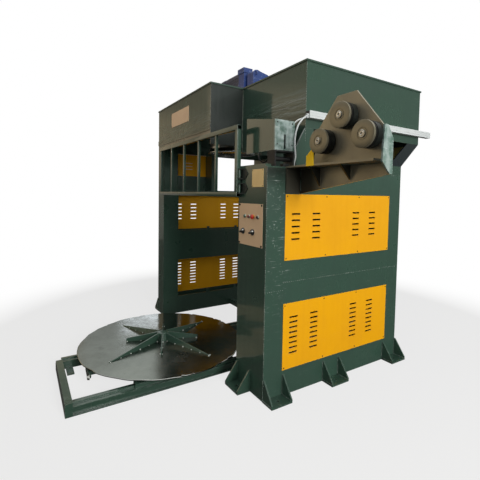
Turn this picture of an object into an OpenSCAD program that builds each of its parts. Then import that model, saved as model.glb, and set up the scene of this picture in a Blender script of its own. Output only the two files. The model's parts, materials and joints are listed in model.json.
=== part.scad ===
// Wire drawing machine with an inverted drum, a row of guide rollers on a side
// arm, a barred guard gate and a coil turntable that runs out on floor rails.
// X is the width (right leg at +X), Y the depth (front at -Y), Z up, in mm.
// The origin is the centre of the four corner anchor holes, on the floor.

/* [Stand] */
// Outside width across both legs
frame_w = 2452; // [2200:4:2800]
// Depth of the legs, front to back
frame_d = 1632; // [1500:4:1900]
// Height of the right leg to its top plate
leg_h = 1820; // [1750:5:1900]
// Height of the left leg to its top plate
left_leg_h = 1650; // [1640:5:1720]
// Width of the right leg
right_leg_w = 400; // [340:5:450]
// Width of the left leg
left_leg_w = 200; // [150:5:260]
// Thickness of the leg plates
plate_t = 10; // [6:1:16]
// Depth of the left leg's front post
post_d = 180; // [140:5:220]

/* [Windows and louvred panels] */
// Gap from the front plane to the panels
panel_front = 181; // [150:1:220]
// Length of the leg panels
panel_len = 1282; // [1150:2:1300]
// Underside of the lower panels
lower_panel_z = 208; // [200:2:240]
// Height of the lower panels
lower_panel_h = 536; // [480:2:560]
// Underside of the upper panels
upper_panel_z = 1088; // [1060:2:1120]
// Height of the upper panels
upper_panel_h = 522; // [460:2:530]
// Panel sheet thickness
panel_t = 3; // [2:0.5:5]
// Overlap of a panel on the edge of its window
panel_lap = 22; // [15:1:35]
// Length of one louvre slot
slot_l = 85; // [60:1:100]
// Height of one louvre slot
slot_h = 13; // [8:1:18]
// Distance from a panel's front edge to the first slot column
slot_first = 65; // [50:1:90]
// Step between the two columns of a pair
slot_pair = 222; // [180:2:260]
// Step between the two pairs of columns
slot_group = 703; // [600:2:760]
// Row step of the upper slots
upper_slot_step = 50; // [35:1:60]
// Height of the lowest upper slot above its panel's edge
upper_slot_low = 160; // [100:2:180]
// Row step of the lower slots
lower_slot_step = 41.5; // [30:0.5:50]
// Height of the lowest lower slot above its panel's edge
lower_slot_low = 122; // [90:2:140]

// Width of the tabs at the left windows' lower edge
clip_w = 36; // [20:2:50]
// Height of the tabs at the left windows' lower edge
clip_h = 44; // [25:1:60]

// Height of the lip along the right leg's top
cap_t = 18; // [12:1:24]
// Depth of the lip
cap_w = 50; // [30:2:58]
// Overhang of the lip over the leg's front
cap_out = 1; // [0.5:0.5:1]
// Distance of the lip's end from the leg's outer side
cap_in = 22; // [10:2:60]

/* [Left upper frame] */
// Distance of the upper post's rear side from the front plane
upper_post_back = 750; // [700:5:850]
// Width of the upper post
upper_post_w = 60; // [40:2:90]
// Front edge of the small top panel, from the front plane
top_panel_front = 360; // [300:5:380]
// Underside of the small top panel
top_panel_z = 1850; // [1830:5:1880]
// Height of the small top panel
top_panel_h = 270; // [200:5:280]
// Length of the small top panel
top_panel_len = 330; // [260:5:340]

/* [Hood] */
// Height of the hood's underside above the right leg
hood_lift = 320; // [300:5:380]
// Height of the hood
hood_h = 540; // [460:10:660]
// Lower edge of the hood wall above the gate
hood_front_z = 2225; // [2215:5:2260]
// Width of the hood's front part
hood_left_w = 1509; // [1480:3:1600]
// Setback of the hood's right part behind the front plane
hood_setback = 367; // [340:1:400]
// Overhang of the hood behind the legs
hood_overhang = 273; // [200:3:320]
// Hood sheet thickness
hood_t = 6; // [4:1:8]
// Thickness of the hood's top deck
deck_t = 14; // [10:1:20]
// How far the deck stands out past the walls
deck_lip = 8; // [4:1:20]
// How far the wall behind the die plate hangs below the hood's edge
skirt_h = 110; // [80:5:130]
// How far the wall at the hood's inner corner hangs below its edge
corner_skirt = 50; // [20:5:70]
// Height of the stiffening strip above the gate
strip_h = 60; // [40:2:90]
// Thickness of the stiffening strip
strip_t = 6; // [4:1:10]

/* [Feet] */
// How far a foot stands out from the leg
foot_out = 120; // [100:5:150]
// Length of a foot along the leg
foot_len = 200; // [160:5:220]
// Thickness of a foot plate
foot_t = 16; // [10:1:22]
// Thickness of a foot gusset
foot_rib_t = 12; // [8:1:16]
// Height of a foot gusset
foot_rib_h = 160; // [120:5:180]
// Radius of the anchor holes
anchor_r = 11; // [8:0.5:14]
// Distance of an anchor hole from the leg
anchor_out = 62; // [50:1:75]
// Distance of the corner anchors from the front and rear planes
anchor_inset = 97; // [97:1:130]
// Offset of the middle feet from the middle of the depth
mid_foot_y = -86; // [-150:2:0]
// Offset of the front foot from the right leg's inner side
front_foot_x = 120; // [110:2:160]

/* [Braces] */
// Foot of the rear brace, from the rear plane
brace_foot = 107; // [60:2:160]
// Width of the rear brace
brace_w = 180; // [120:5:220]
// Height of the brace's upright heel
brace_heel = 82; // [50:2:110]
// Thickness of the brace and gusset plates
brace_t = 14; // [8:1:20]
// Width of the front gusset
gusset_w = 90; // [80:2:130]
// Height of the front gusset's nose
gusset_nose = 165; // [120:5:200]
// Side of the rear tie beam's square tube
tie_side = 100; // [60:5:140]

/* [Roller arm] */
// Reach of the arm from the leg
arm_len = 800; // [740:5:860]
// Thickness of the arm's shelf and plates
arm_t = 14; // [8:1:18]
// Front edge of the shelf, from the front plane
shelf_front = 175; // [150:5:190]
// Front face of the web, from the front plane
web_y = 320; // [300:5:345]
// Depth of the web at the leg
web_root = 197; // [150:5:240]
// Depth of the web at its end
web_tip = 73; // [50:2:110]
// Distance of the first arm gusset from the leg
rib_x1 = 220; // [180:5:300]
// Distance of the second arm gusset from the leg
rib_x2 = 500; // [440:5:600]
// Distance of the arm gussets' front from the shelf's front edge
rib_in = 40; // [8:1:60]
// Width of the arm's root flange on the leg
root_w = 100; // [80:2:120]
// Thickness of the arm's root flange
root_t = 12; // [8:1:16]
// Thickness of the arm gussets
rib_w = 12; // [8:1:16]
// Rise of the roller plate's top over the middle roller
plate_over = 156; // [120:1:170]
// Height of the roller plate's outer corners above the shelf
plate_side = 203; // [180:1:220]
// Height of the roller plate's inner corner above the shelf
plate_in = 258; // [230:1:280]
// Front face of the roller plate, from the front plane
roller_plate_y = 250; // [245:1:275]
// Thickness of the roller plate
roller_plate_t = 12; // [8:1:16]

/* [Guide rollers] */
// Outer radius of the guide rollers
roller_r = 84; // [70:1:88]
// Width of a guide roller
roller_w = 86; // [70:1:95]
// Width of the wire groove
groove_w = 20; // [12:1:26]
// Depth of the wire groove
groove_d = 16; // [8:1:24]
// Width of the front flange beside the groove
flange_w = 12; // [8:1:16]
// Radius of the roller axles
axle_r = 15; // [10:1:20]
// Gap between a roller and the roller plate
roller_gap = 10; // [6:1:14]
// Running clearance of axles, pins and shafts, on the radius
run_c = 0.05; // [0.02:0.01:0.1]
// Height of the two outer rollers above the shelf
roller_low = 147; // [120:1:170]
// Rise of the middle roller above the outer ones
roller_rise = 144; // [120:1:170]
// Distance of the first roller from the leg
roller_x1 = 363; // [330:1:380]
// Step between rollers
roller_step = 183; // [176:1:200]

/* [Die plate] */
// Width of the die plate
die_w = 190; // [150:2:192]
// Height of the die plate
die_h = 230; // [180:2:240]
// Front edge of the die plate, from the front plane
die_y = 66; // [60:1:70]
// Height of the die plate above the leg's top
die_lift = 125; // [110:1:150]
// Thickness of the die plate
die_t = 12; // [8:1:16]
// Width of the wire slot
die_slot_w = 18; // [10:1:26]
// Height of the wire slot
die_slot_h = 110; // [80:2:130]
// Radius of the corner holes
die_hole_r = 7; // [4:0.5:9]
// Distance of the corner holes from the sides
die_hole_in = 22; // [16:1:30]
// Length of the die box behind the die plate
die_box_l = 382; // [340:2:420]
// Rise of its roof to the left end
die_box_rise = 66; // [0:2:100]
// Thickness of its sheets
die_box_t = 4; // [3:0.5:8]
// Radius of the wire's hole in its left end
die_box_hole_r = 34; // [20:1:50]
// Outer radius of the die holder
holder_r = 46; // [34:1:56]
// Length of the die holder
holder_l = 70; // [50:2:100]
// Height of the wire above the leg's top
wire_lift = 228; // [220:1:240]
// Radius of the hole through the die holder
wire_r = 12; // [8:1:16]
// Length of the side plates below the die plate
cheek_l = 92; // [70:2:120]
// Thickness of those side plates
cheek_t = 12; // [8:1:16]
// Radius of the support pin below the die plate
die_pin_r = 18; // [12:1:24]
// Height of the support pin above the leg's top
pin_lift = 62; // [50:1:80]
// Outer radius of the ring guide
ring_r = 44; // [30:1:50]
// Radius of the ring guide's bar
ring_t = 12; // [6:1:16]
// Height of the ring guide's foot
ring_foot = 18; // [10:1:30]
// Distance of the ring guide from the leg's outer side
ring_x = 210; // [180:5:240]
// Width of the yellow tab
tab_w = 72; // [50:2:90]
// Height of the yellow tab
tab_h = 113; // [90:1:130]
// Thickness of the yellow tab
tab_t = 6; // [4:1:10]
// Distance of the tab from the leg
tab_x = 234; // [220:2:240]

/* [Cable trunking] */
// Front end of the trunking, from the front plane
trunk_front = 370; // [368:1:460]
// Length of the trunking
trunk_len = 1670; // [1480:5:1700]
// Height of the trunking's section
trunk_h = 56; // [40:2:70]
// Width of the trunking's section
trunk_w = 45; // [30:1:60]
// Height of the trunking above the hood's lower edge
trunk_lift = 75; // [60:1:110]
// Radius of the conduit
conduit_r = 6.5; // [4:0.5:9]

/* [Controls] */
// Width of the control plate
ctrl_w = 338; // [300:2:350]
// Height of the control plate
ctrl_h = 338; // [300:2:380]
// Underside of the control plate
ctrl_z = 1192; // [1150:2:1240]
// Distance of the control plate from the leg's outer side
ctrl_side = 46; // [26:1:56]
// Thickness of the control and label plates
ctrl_t = 3; // [2:0.5:5]
// Radius of the push buttons
button_r = 13; // [9:1:15]
// Height of the push buttons
button_h = 22; // [14:1:30]
// Radius of the rotary switches
knob_r = 27; // [18:1:34]
// Height of the rotary switches
knob_h = 26; // [16:1:36]
// Radius of a rotary switch's spindle
spindle_r = 5; // [3:0.5:8]
// Height of the push buttons above the control plate's lower edge
button_up = 235; // [200:5:270]
// Height of the rotary switches above the control plate's lower edge
knob_up = 111; // [90:1:140]
// Distance of the first rotary switch from the plate's inner side
knob_in = 67; // [50:1:80]
// Step between the rotary switches
knob_step = 139; // [120:1:150]
// Width of the label plate
label_w = 152; // [120:2:170]
// Height of the label plate
label_h = 138; // [110:2:150]
// Height of the label plate's lower edge
label_z = 1662; // [1640:2:1670]
// Distance of the nameplate from the hood's left side
name_x = 474; // [420:2:520]
// Height of the nameplate above the hood's front edge
name_up = 170; // [140:2:190]
// Length of the nameplate
name_l = 512; // [440:4:560]
// Height of the nameplate
name_h = 165; // [120:3:190]

/* [Gate] */
// Height of the gate's underside
gate_z = 1581; // [1560:1:1600]
// Height of the gate
gate_h = 606; // [560:2:620]
// Side of the gate's square tubes
gate_tube = 40; // [30:1:50]
// Width of the gate's bars
gate_bar = 24; // [16:1:30]
// Number of bars between the end posts
gate_bars = 5; // [3:1:8]
// Gap between the gate and the legs
gate_gap = 6; // [5:1:12]
// Distance of the hinge axis from the right leg's inner side
hinge_in = 44; // [24:2:50]
// Length of the hinge straps on the leg
strap_l = 96; // [70:2:110]
// Thickness of the hinge straps
strap_t = 5; // [3:0.5:5]
// Radius of the hinge pins
hinge_pin_r = 8; // [6:0.5:12]
// Wall of the hinge barrels
barrel_wall = 7; // [5:0.5:10]
// Height of a hinge barrel
barrel_h = 60; // [40:2:70]

/* [Drum] */
// Radius of the drawing drum
drum_r = 250; // [220:2:255]
// Height of the drum
drum_h = 330; // [280:5:360]
// Height of the drum's lower rim
drum_z = 2040; // [2030:2:2060]
// Width of the rim that stands out below
drum_rim = 14; // [8:1:16]
// Wall of the drum
drum_wall = 18; // [12:1:24]
// Radius of the drum's shaft
shaft_r = 45; // [35:1:55]
// Wall of the shaft's bearing sleeve
sleeve_wall = 32; // [24:1:45]
// Length of the bearing sleeve below the deck
sleeve_l = 240; // [180:5:260]
// Distance of the drum's axis from the front plane
drum_y = 415; // [410:1:440]
// Sideways offset of the drum's axis from the middle
drum_x = 0; // [-60:2:0]

/* [Drive] */
// Radius of the bolted foot flange
flange_r = 176; // [160:2:184]
// Thickness of the bolted foot flange
flange_t = 18; // [12:1:24]
// Width of the gear post
tower_w = 110; // [90:5:130]
// Depth of the gear post
tower_d = 97; // [80:1:120]
// Height of the gear post
tower_h = 265; // [240:5:290]
// Distance of the gear post's front face behind the drum's axis
tower_back = 119; // [100:1:140]
// Sideways offset of the gear post's middle
tower_x = -29; // [-60:1:0]
// Overhang of the post's lid
lid_lap = 9; // [4:1:20]
// Thickness of the post's lid
lid_t = 52; // [30:1:60]
// Height of the low gear case
case_h = 62; // [40:2:90]
// Depth of the low gear case
case_d = 240; // [200:5:280]
// Width of the gear cover
cover_w = 116; // [90:2:140]
// Distance of the gear cover from the post
cover_gap = 34; // [20:1:50]
// Height of the gear cover
cover_h = 264; // [220:2:290]
// Depth of the gear cover
cover_d = 220; // [180:5:260]
// Radius of the lifting eye
eye_r = 17; // [12:1:24]
// Radius of the lifting eye's bar
eye_t = 5; // [4:0.5:8]
// Length of the motor
motor_l = 430; // [360:5:480]
// Distance of the motor's front side behind the drum's axis
motor_back = 150; // [130:5:180]
// Depth of the motor
motor_d = 250; // [200:5:290]
// Height of the motor
motor_h = 293; // [240:1:320]
// Height of the motor's feet
motor_foot = 12; // [8:1:20]
// Depth of the grooves between the motor's cooling fins
fin_h = 5; // [3:0.5:10]
// Distance between the motor's cooling fins
fin_step = 24; // [18:1:32]
// Length of the fan cowl
cowl_l = 80; // [50:2:100]
// Length of the neck between motor and gear post
neck_l = 20; // [10:1:40]

/* [Coil turntable] */
// Radius of the turntable disc
disc_r = 790; // [720:2:795]
// Thickness of the disc
disc_t = 10; // [8:1:14]
// Height of the disc's top
disc_top = 130; // [126:1:150]
// Length of the four long ribs
rib_long = 620; // [520:5:700]
// Length of the four short ribs
rib_short = 350; // [280:5:420]
// Height of the ribs at the hub
rib_h = 80; // [50:2:110]
// Thickness of the ribs
rib_t = 12; // [8:1:16]
// Radius of the hub
hub_r = 55; // [40:1:80]
// Angle of the first long rib
rib_turn = 24; // [0:1:45]
// Radius of the turntable's pivot pin
pivot_r = 30; // [20:1:40]
// Distance of the disc's centre in front of the drum's axis
disc_out = 785; // [740:5:800]

/* [Floor rails and carriage] */
// Width of a rail
rail_w = 100; // [70:2:120]
// Height of a rail
rail_h = 70; // [50:2:72]
// Wall of the rail's channel
rail_t = 8; // [5:1:12]
// Width of the flanges at a rail's open side
rail_lip = 22; // [12:1:34]
// Length of the anchor plate beside the far rail
anchor_l = 146; // [100:2:170]
// Width of the anchor plate
anchor_w = 58; // [44:2:80]
// Thickness of the anchor plate
anchor_t = 12; // [8:1:20]
// Sideways place of the near rail
rail_near = 631; // [600:1:660]
// Sideways place of the far rail
rail_far = -149; // [-250:1:-140]
// Length of the rails
rail_len = 2290; // [2200:10:2500]
// Front end of the rails, before the front plane
rail_front = 1270; // [1260:5:1300]
// Width of the rails' front end member
end_w = 50; // [40:2:70]
// Height of the rails' front end member
end_h = 100; // [80:2:115]
// Chamfer at the end member's far end
end_cut = 40; // [20:2:60]
// Width of the rear cross-member between the legs
rail_tie_w = 60; // [40:2:80]
// Width of the guide strip on a rail
guide_w = 14; // [10:1:20]
// Height of the guide strip
guide_h = 12; // [8:1:16]
// Length of the carriage's runners
runner_l = 900; // [800:10:1000]
// Width of the carriage's runners
runner_w = 70; // [50:2:90]
// Height of the carriage's runners
runner_h = 34; // [26:1:40]
// Width of the carriage's cross bars
bar_w = 80; // [50:2:100]
// Distance of the front lug from the disc's centre
lug_out = 736; // [700:2:745]
// Width of the front lug
lug_w = 240; // [160:5:260]
// Sideways place of the front lug
lug_x = 232; // [150:2:300]
// Floor left below the pivot bore
boss_floor = 10; // [6:1:14]
// Radius of the bearing boss
boss_r = 120; // [90:2:160]

/* [Hidden] */
$fn = 64;
e = 0.3;                       // seat gap between pieces that slide on each other
lap = 2;                       // how far welded plates of one piece run into each other
xr = frame_w / 2;              // right outer plane
xl = -frame_w / 2;             // left outer plane
yf = -frame_d / 2;             // front plane
yb = frame_d / 2;              // rear plane
xi = xr - right_leg_w;         // right leg's inner plane
xj = xl + left_leg_w;          // left leg's inner plane
panel_y = yf + panel_front;
tab_places = [630, 1075];      // places of the window tabs from the front plane
hood_x = xl + hood_left_w;     // inner corner of the L-shaped hood
hood_y = yf + hood_setback;
hood_yb = yb + hood_overhang;
hood_z = leg_h + hood_lift;
hood_top = hood_z + hood_h;
shelf_top = leg_h + 5;
die_z = leg_h + die_lift;
dy = yf + drum_y;              // drum axis
hinge_x = xi + hinge_in;       // gate hinge axis
hinge_y = yf - gate_gap - gate_tube / 2;
barrel_r = hinge_pin_r + barrel_wall;
barrel_z = [gate_z + 40, gate_z + 160];
disc_x = drum_x;
disc_y = dy - disc_out;
disc_z = disc_top - disc_t;
rail_y = yf - rail_front;
runner_z = rail_h + e;
pivot_l = disc_z - runner_z - boss_floor - 2;
ctrl_x = xr - ctrl_side - ctrl_w;
knob_x = [ctrl_x + knob_in, ctrl_x + knob_in + knob_step];
knob_z = ctrl_z + knob_up;
button_x = [93, 150, 214, 276]; // places of the push buttons on the control plate
roller_pos = [for (i = [0:2]) [xr + roller_x1 + i * roller_step,
    shelf_top + roller_low + (i == 1 ? roller_rise : 0)]];
axle_y = yf + roller_plate_y;  // front face of the roller plate
roller_y = axle_y - roller_gap - roller_w;

// An outline in X and Z, t thick towards +Y from y0
module plate_xz(y0, t) translate([0, y0 + t, 0]) rotate([90, 0, 0])
    linear_extrude(t) children();
// An outline in Y and Z, t thick towards +X from x0
module plate_yz(x0, t) translate([x0, 0, 0]) rotate([90, 0, 90])
    linear_extrude(t) children();
// A rectangle given by its two corners
module box2(a, b) translate(a) square(b - a);

// ---- legs ----
// Outline of a panel and of the window behind it, in Y and Z
module panel_area(y, z, l, h, lap = 0)
    translate([y + lap, z + lap]) square([l - 2 * lap, h - 2 * lap]);
module leg_windows() {
    panel_area(panel_y, lower_panel_z, panel_len, lower_panel_h, panel_lap);
    panel_area(panel_y, upper_panel_z, panel_len, upper_panel_h, panel_lap);
}
// Rows of slots in two pairs of columns
module slots(y, z, rows, step) for (g = [0, slot_group], p = [0, slot_pair], r = [0:rows - 1])
    translate([y + slot_first + g + p, z + r * step]) square([slot_l, slot_h]);

module leg_skin(x0, h) plate_yz(x0, plate_t) difference() {
    box2([yf, 0], [yb, h - plate_t]);
    leg_windows();
}
module leg_ends(x0, x1, h) {
    for (y = [yf, yb - plate_t]) translate([x0 + plate_t, y, 0])
        cube([x1 - x0 - 2 * plate_t, plate_t, h - plate_t]);
    translate([x0, yf, h - plate_t]) cube([x1 - x0, frame_d, plate_t]);
}
module right_side_plate() color("darkgreen") leg_skin(xr - plate_t, leg_h);
module right_inner_plate() color("darkgreen") plate_yz(xi, plate_t)
    box2([yf, 0], [yb, leg_h - plate_t]);
module right_leg_ends() color("darkgreen") {
    leg_ends(xi, xr, leg_h);
    // lip along the front of the leg's top
    translate([xi, yf - cap_out, leg_h - lap]) cube([right_leg_w - cap_in, cap_w + cap_out, cap_t + lap]);
}
module left_side_plate() color("darkgreen") leg_skin(xl, left_leg_h);
module left_inner_plate() color("darkgreen") {
    leg_skin(xj - plate_t, left_leg_h);
    // tabs that the yellow panels' inner frames were set on
    for (z = [lower_panel_z, upper_panel_z] + [panel_lap, panel_lap], y = tab_places)
        translate([xj - plate_t, yf + y, z - lap]) cube([plate_t, clip_w, clip_h + lap]);
}
module left_leg_ends() color("darkgreen") leg_ends(xl, xj, left_leg_h);

// ---- louvred panels ----
module upper_panel(x0) color("orange") plate_yz(x0, panel_t) difference() {
    panel_area(panel_y, upper_panel_z, panel_len, upper_panel_h);
    slots(panel_y, upper_panel_z + upper_slot_low, 5, upper_slot_step);
}
module lower_panel(x0) color("orange") plate_yz(x0, panel_t) difference() {
    panel_area(panel_y, lower_panel_z, panel_len, lower_panel_h);
    slots(panel_y, lower_panel_z + lower_slot_low, 8, lower_slot_step);
}
module right_upper_panel() upper_panel(xr);
module right_lower_panel() lower_panel(xr);
module left_upper_panel() upper_panel(xl - panel_t);
module left_lower_panel() lower_panel(xl - panel_t);
module left_top_panel() color("orange") plate_yz(xl - panel_t, panel_t) difference() {
    panel_area(yf + top_panel_front, top_panel_z, top_panel_len, top_panel_h);
    for (r = [0:4]) translate([yf + top_panel_front + 60,
        top_panel_z + 50 + r * lower_slot_step]) square([slot_l, slot_h]);
}

// ---- left upper frame: front post, infill sheet and upper post ----
module left_upper_frame() color("darkgreen") {
    translate([xl, yf, left_leg_h]) cube([left_leg_w, post_d, hood_front_z - left_leg_h]);
    translate([xl, yf + upper_post_back - upper_post_w, left_leg_h])
        cube([left_leg_w, upper_post_w, hood_z - left_leg_h]);
    plate_yz(xl, plate_t) difference() {
        box2([yf + post_d - lap, left_leg_h],
            [yf + upper_post_back - upper_post_w + lap, hood_z]);
        panel_area(yf + top_panel_front, top_panel_z, top_panel_len,
            top_panel_h, panel_lap);
    }
}

// ---- hood ----
module hood_outline(g = 0) polygon([[xl - g, yf - g], [hood_x + g, yf - g],
    [hood_x + g, hood_y - g], [xr + g, hood_y - g], [xr + g, hood_yb + g],
    [xl - g, hood_yb + g]]);
// Raises the lower edge of the wall between two corners to the height z
module edge_cut(a, b, z) translate([a[0] - 1, a[1] - 1, hood_z - skirt_h - 1])
    cube([b[0] - a[0] + 2, b[1] - a[1] + 2, z - hood_z + skirt_h + 1]);
module hood_walls() color("darkgreen") {
    difference() {
        translate([0, 0, hood_z - skirt_h])
            linear_extrude(hood_top - deck_t - hood_z + skirt_h)
                difference() { hood_outline(); hood_outline(-hood_t); }
        edge_cut([xl, yf], [hood_x - hood_t - 1, yf + hood_t], hood_front_z);
        edge_cut([xl, yf], [xj, yf + post_d], hood_front_z);
        edge_cut([xl, yf], [xl + hood_t, hood_yb], hood_z);
        edge_cut([xl, hood_yb - hood_t], [xr, hood_yb], hood_z);
        edge_cut([xr - hood_t, hood_y + hood_t + 1], [xr, hood_yb], hood_z);
        edge_cut([xr - brace_t, hood_y], [xr, hood_y + hood_t + 1], hood_z);
        edge_cut([hood_x - hood_t, yf], [hood_x, hood_y - 1], hood_z - corner_skirt);
    }
    // stiffening strip along the edge above the gate
    translate([xl, yf - strip_t, hood_front_z]) cube([hood_left_w, strip_t + lap, strip_h]);
}
module hood_deck() color("darkgreen") translate([0, 0, hood_top - deck_t])
    linear_extrude(deck_t) hood_outline(deck_lip);

// ---- braces between the legs and the hood ----
module rear_brace(x0) plate_yz(x0, brace_t) polygon([
    [yb - brace_foot - brace_w, leg_h], [yb, leg_h], [yb, leg_h + brace_heel],
    [hood_yb, hood_z], [hood_yb - brace_w, hood_z]]);
// Front gusset; the outer one has a pointed nose in front of the hood
module front_gusset(x0, nose) plate_yz(x0, brace_t) polygon(concat(
    nose ? [[hood_y, hood_z], [hood_y - gusset_w, leg_h + gusset_nose], [hood_y - gusset_w, leg_h]]
        : [[hood_y + hood_t, hood_z], [hood_y + hood_t, leg_h]],
    [[hood_y + gusset_w, leg_h], [hood_y + gusset_w, hood_z]]));
module hood_braces() color("darkgreen") {
    rear_brace(xr - brace_t);
    rear_brace(xi);
    front_gusset(xr - brace_t, true);
    front_gusset(xi, false);
}
// Square tube across the back, from leg to leg, that the hood's rear sits on
module rear_tie_beam() color("darkgreen") {
    translate([xl, yb - tie_side, hood_z - tie_side]) cube([xi - xl, tie_side, tie_side]);
    translate([xl, yb - tie_side, left_leg_h])
        cube([left_leg_w, tie_side, hood_z - tie_side - left_leg_h]);
    translate([xi + brace_t, yb - tie_side, leg_h])
        cube([tie_side, tie_side, hood_z - leg_h]);
}

// ---- feet ----
module foot() {
    difference() {
        translate([0, -foot_len / 2, 0]) cube([foot_out, foot_len, foot_t]);
        translate([anchor_out, 0, -1]) cylinder(r = anchor_r, h = foot_t + 2);
    }
    for (y = [-foot_len / 2, foot_len / 2 - foot_rib_t]) plate_xz(y, foot_rib_t)
        polygon([[0, foot_t], [foot_out, foot_t], [foot_out, foot_t + 12],
            [12, foot_t + foot_rib_h], [0, foot_t + foot_rib_h]]);
}
module anchor_feet() color("darkgreen") {
    for (y = [-(yb - anchor_inset), mid_foot_y, yb - anchor_inset]) {
        translate([xr, y, 0]) foot();
        translate([xl, y, 0]) mirror([1, 0, 0]) foot();
    }
    translate([xi + front_foot_x, yf, 0]) rotate([0, 0, -90]) foot();
}

// ---- roller arm ----
module arm_bracket() color("darkgreen") {
    // shelf
    translate([xr, yf + shelf_front, shelf_top - arm_t])
        cube([arm_len, web_y + arm_t - shelf_front, arm_t]);
    // tapered web below it
    plate_xz(yf + web_y, arm_t) polygon([[xr, shelf_top - arm_t],
        [xr + arm_len, shelf_top - arm_t], [xr + arm_len, shelf_top - arm_t - web_tip],
        [xr, shelf_top - arm_t - web_root]]);
    // gussets between shelf and web
    // root flange on the leg's side
    translate([xr, yf + shelf_front, shelf_top - arm_t - web_root + lap])
        cube([root_t, root_w, web_root + lap]);
    translate([xr, yf + shelf_front + root_w - lap, shelf_top - arm_t - web_root + lap])
        cube([root_t / 2, web_y - shelf_front - root_w + 2 * lap, web_root + lap]);
    for (x = [rib_x1, rib_x2]) plate_yz(xr + x, rib_w) polygon([
        [yf + shelf_front + rib_in, shelf_top - arm_t + lap], [yf + web_y + lap, shelf_top - arm_t + lap],
        [yf + web_y + lap, shelf_top - arm_t - web_root + (web_root - web_tip) * x / arm_len + 12]]);
}
module roller_plate() color("darkgreen") plate_xz(axle_y, roller_plate_t) difference() {
    polygon([[roller_pos[0][0] - 142, shelf_top], [xr + arm_len, shelf_top],
        [xr + arm_len, shelf_top + plate_side],
        [roller_pos[1][0] + 52, roller_pos[1][1] + plate_over],
        [roller_pos[1][0] - 109, roller_pos[1][1] + plate_over],
        [roller_pos[0][0] - 88, shelf_top + plate_in]]);
    for (p = roller_pos) translate(p) circle(r = axle_r);
}
module arm_end_plate() color("darkseagreen") plate_yz(xr + arm_len, roller_plate_t)
    polygon([[axle_y, shelf_top + plate_side], [axle_y + 34, shelf_top + plate_side],
        [yf + web_y + arm_t, shelf_top + 125], [yf + web_y + arm_t, shelf_top - arm_t - web_tip],
        [yf + web_y - 11, shelf_top - arm_t - web_tip], [axle_y - 12, shelf_top - arm_t]]);
module roller_axles() color("silver") for (p = roller_pos)
    translate([p[0], 0, p[1]]) rotate([-90, 0, 0]) {
        translate([0, 0, roller_y - e - 8]) cylinder(r = axle_r, h = axle_y + roller_plate_t - roller_y + e + 8);
        // end washer and the spacer on the plate
        translate([0, 0, roller_y - e - 8]) cylinder(r = axle_r + 9, h = 8);
        translate([0, 0, axle_y - roller_gap + e]) cylinder(r = axle_r + 13, h = roller_gap - e);
    }
// A roller turned about its axle, drawn as a half section
module roller(i) color("gray") translate([roller_pos[i][0], roller_y, roller_pos[i][1]])
    rotate([-90, 0, 0]) rotate_extrude() polygon([
        [axle_r + run_c, 0], [34, 0], [38, 4], [roller_r - 14, 4], [roller_r - 4, 0],
        [roller_r, 3], [roller_r, flange_w],
        [roller_r - groove_d, flange_w + groove_w * 0.35],
        [roller_r - groove_d, flange_w + groove_w * 0.65],
        [roller_r - 2, flange_w + groove_w], [roller_r - 2, roller_w - 3],
        [roller_r - 5, roller_w], [axle_r + run_c, roller_w]]);
module roller_1() roller(0);
module roller_2() roller(1);
module roller_3() roller(2);

// ---- die plate, its holder and the side plates that carry them ----
wire_y = yf + die_y + die_w / 2;
wire_z = leg_h + wire_lift;
box_x = xr - die_t - die_box_l;  // left end of the die box
box_roof = [[xr - die_t + lap, die_z + die_h - lap], [box_x, die_z + die_h - lap + die_box_rise]];
module die_plate() color("darkseagreen") {
    plate_yz(xr - die_t, die_t) difference() {
        translate([yf + die_y, die_z]) square([die_w, die_h]);
        translate([wire_y - die_slot_w / 2, wire_z - die_slot_h + die_slot_w]) square([die_slot_w, die_slot_h]);
        for (y = [die_hole_in, die_w - die_hole_in], z = [die_hole_in * 2, die_h - die_hole_in])
            translate([yf + die_y + y, die_z + z]) circle(r = die_hole_r);
    }
    // the box of sheet behind it: two sides, a roof that rises to the left, a floor and the end
    for (y = [0, die_w - die_box_t]) plate_xz(yf + die_y + y, die_box_t)
        polygon([[box_x, die_z], [box_roof[0][0], die_z], box_roof[0], box_roof[1]]);
    plate_xz(yf + die_y, die_w) polygon([box_roof[1], box_roof[0],
        box_roof[0] - [0, die_box_t], box_roof[1] - [0, die_box_t]]);
    translate([box_x, yf + die_y, die_z]) cube([die_box_l + lap, die_w, die_box_t]);
    plate_yz(box_x, die_box_t) difference() {
        translate([yf + die_y, die_z]) square([die_w, box_roof[1][1] - die_z]);
        translate([wire_y, wire_z]) circle(r = die_box_hole_r);
    }
}
module die_holder() color("dimgray") translate([xr - die_t - holder_l, wire_y, wire_z])
    rotate([0, 90, 0]) difference() {
        union() {
            cylinder(r = holder_r, h = holder_l);
            translate([0, 0, holder_l - 14]) cylinder(r = holder_r + 14, h = 14);
        }
        translate([0, 0, -1]) cylinder(r = wire_r, h = holder_l + 2);
    }
module die_supports() color("dimgray") {
    for (y = [yf + die_y, yf + die_y + die_w - cheek_t])
        translate([xr - cheek_l, y, leg_h]) cube([cheek_l, cheek_t, die_lift]);
    // bar across the side plates, which the die plate stands on
    translate([xr - cheek_l, yf + die_y, die_z - cheek_t]) cube([cheek_l, die_w, cheek_t]);
    translate([xr - cheek_l / 2, yf + die_y + lap, leg_h + pin_lift]) rotate([-90, 0, 0])
        cylinder(r = die_pin_r, h = die_w - 2 * lap);
}
module ring_guide() color("dimgray") translate([xr - ring_x, wire_y, leg_h + ring_r + ring_foot]) {
    rotate([0, 90, 0]) rotate_extrude() translate([ring_r - ring_t, 0]) circle(r = ring_t);
    translate([-9, -14, -ring_r - ring_foot]) cube([18, 28, ring_foot + ring_t]);
}
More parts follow.
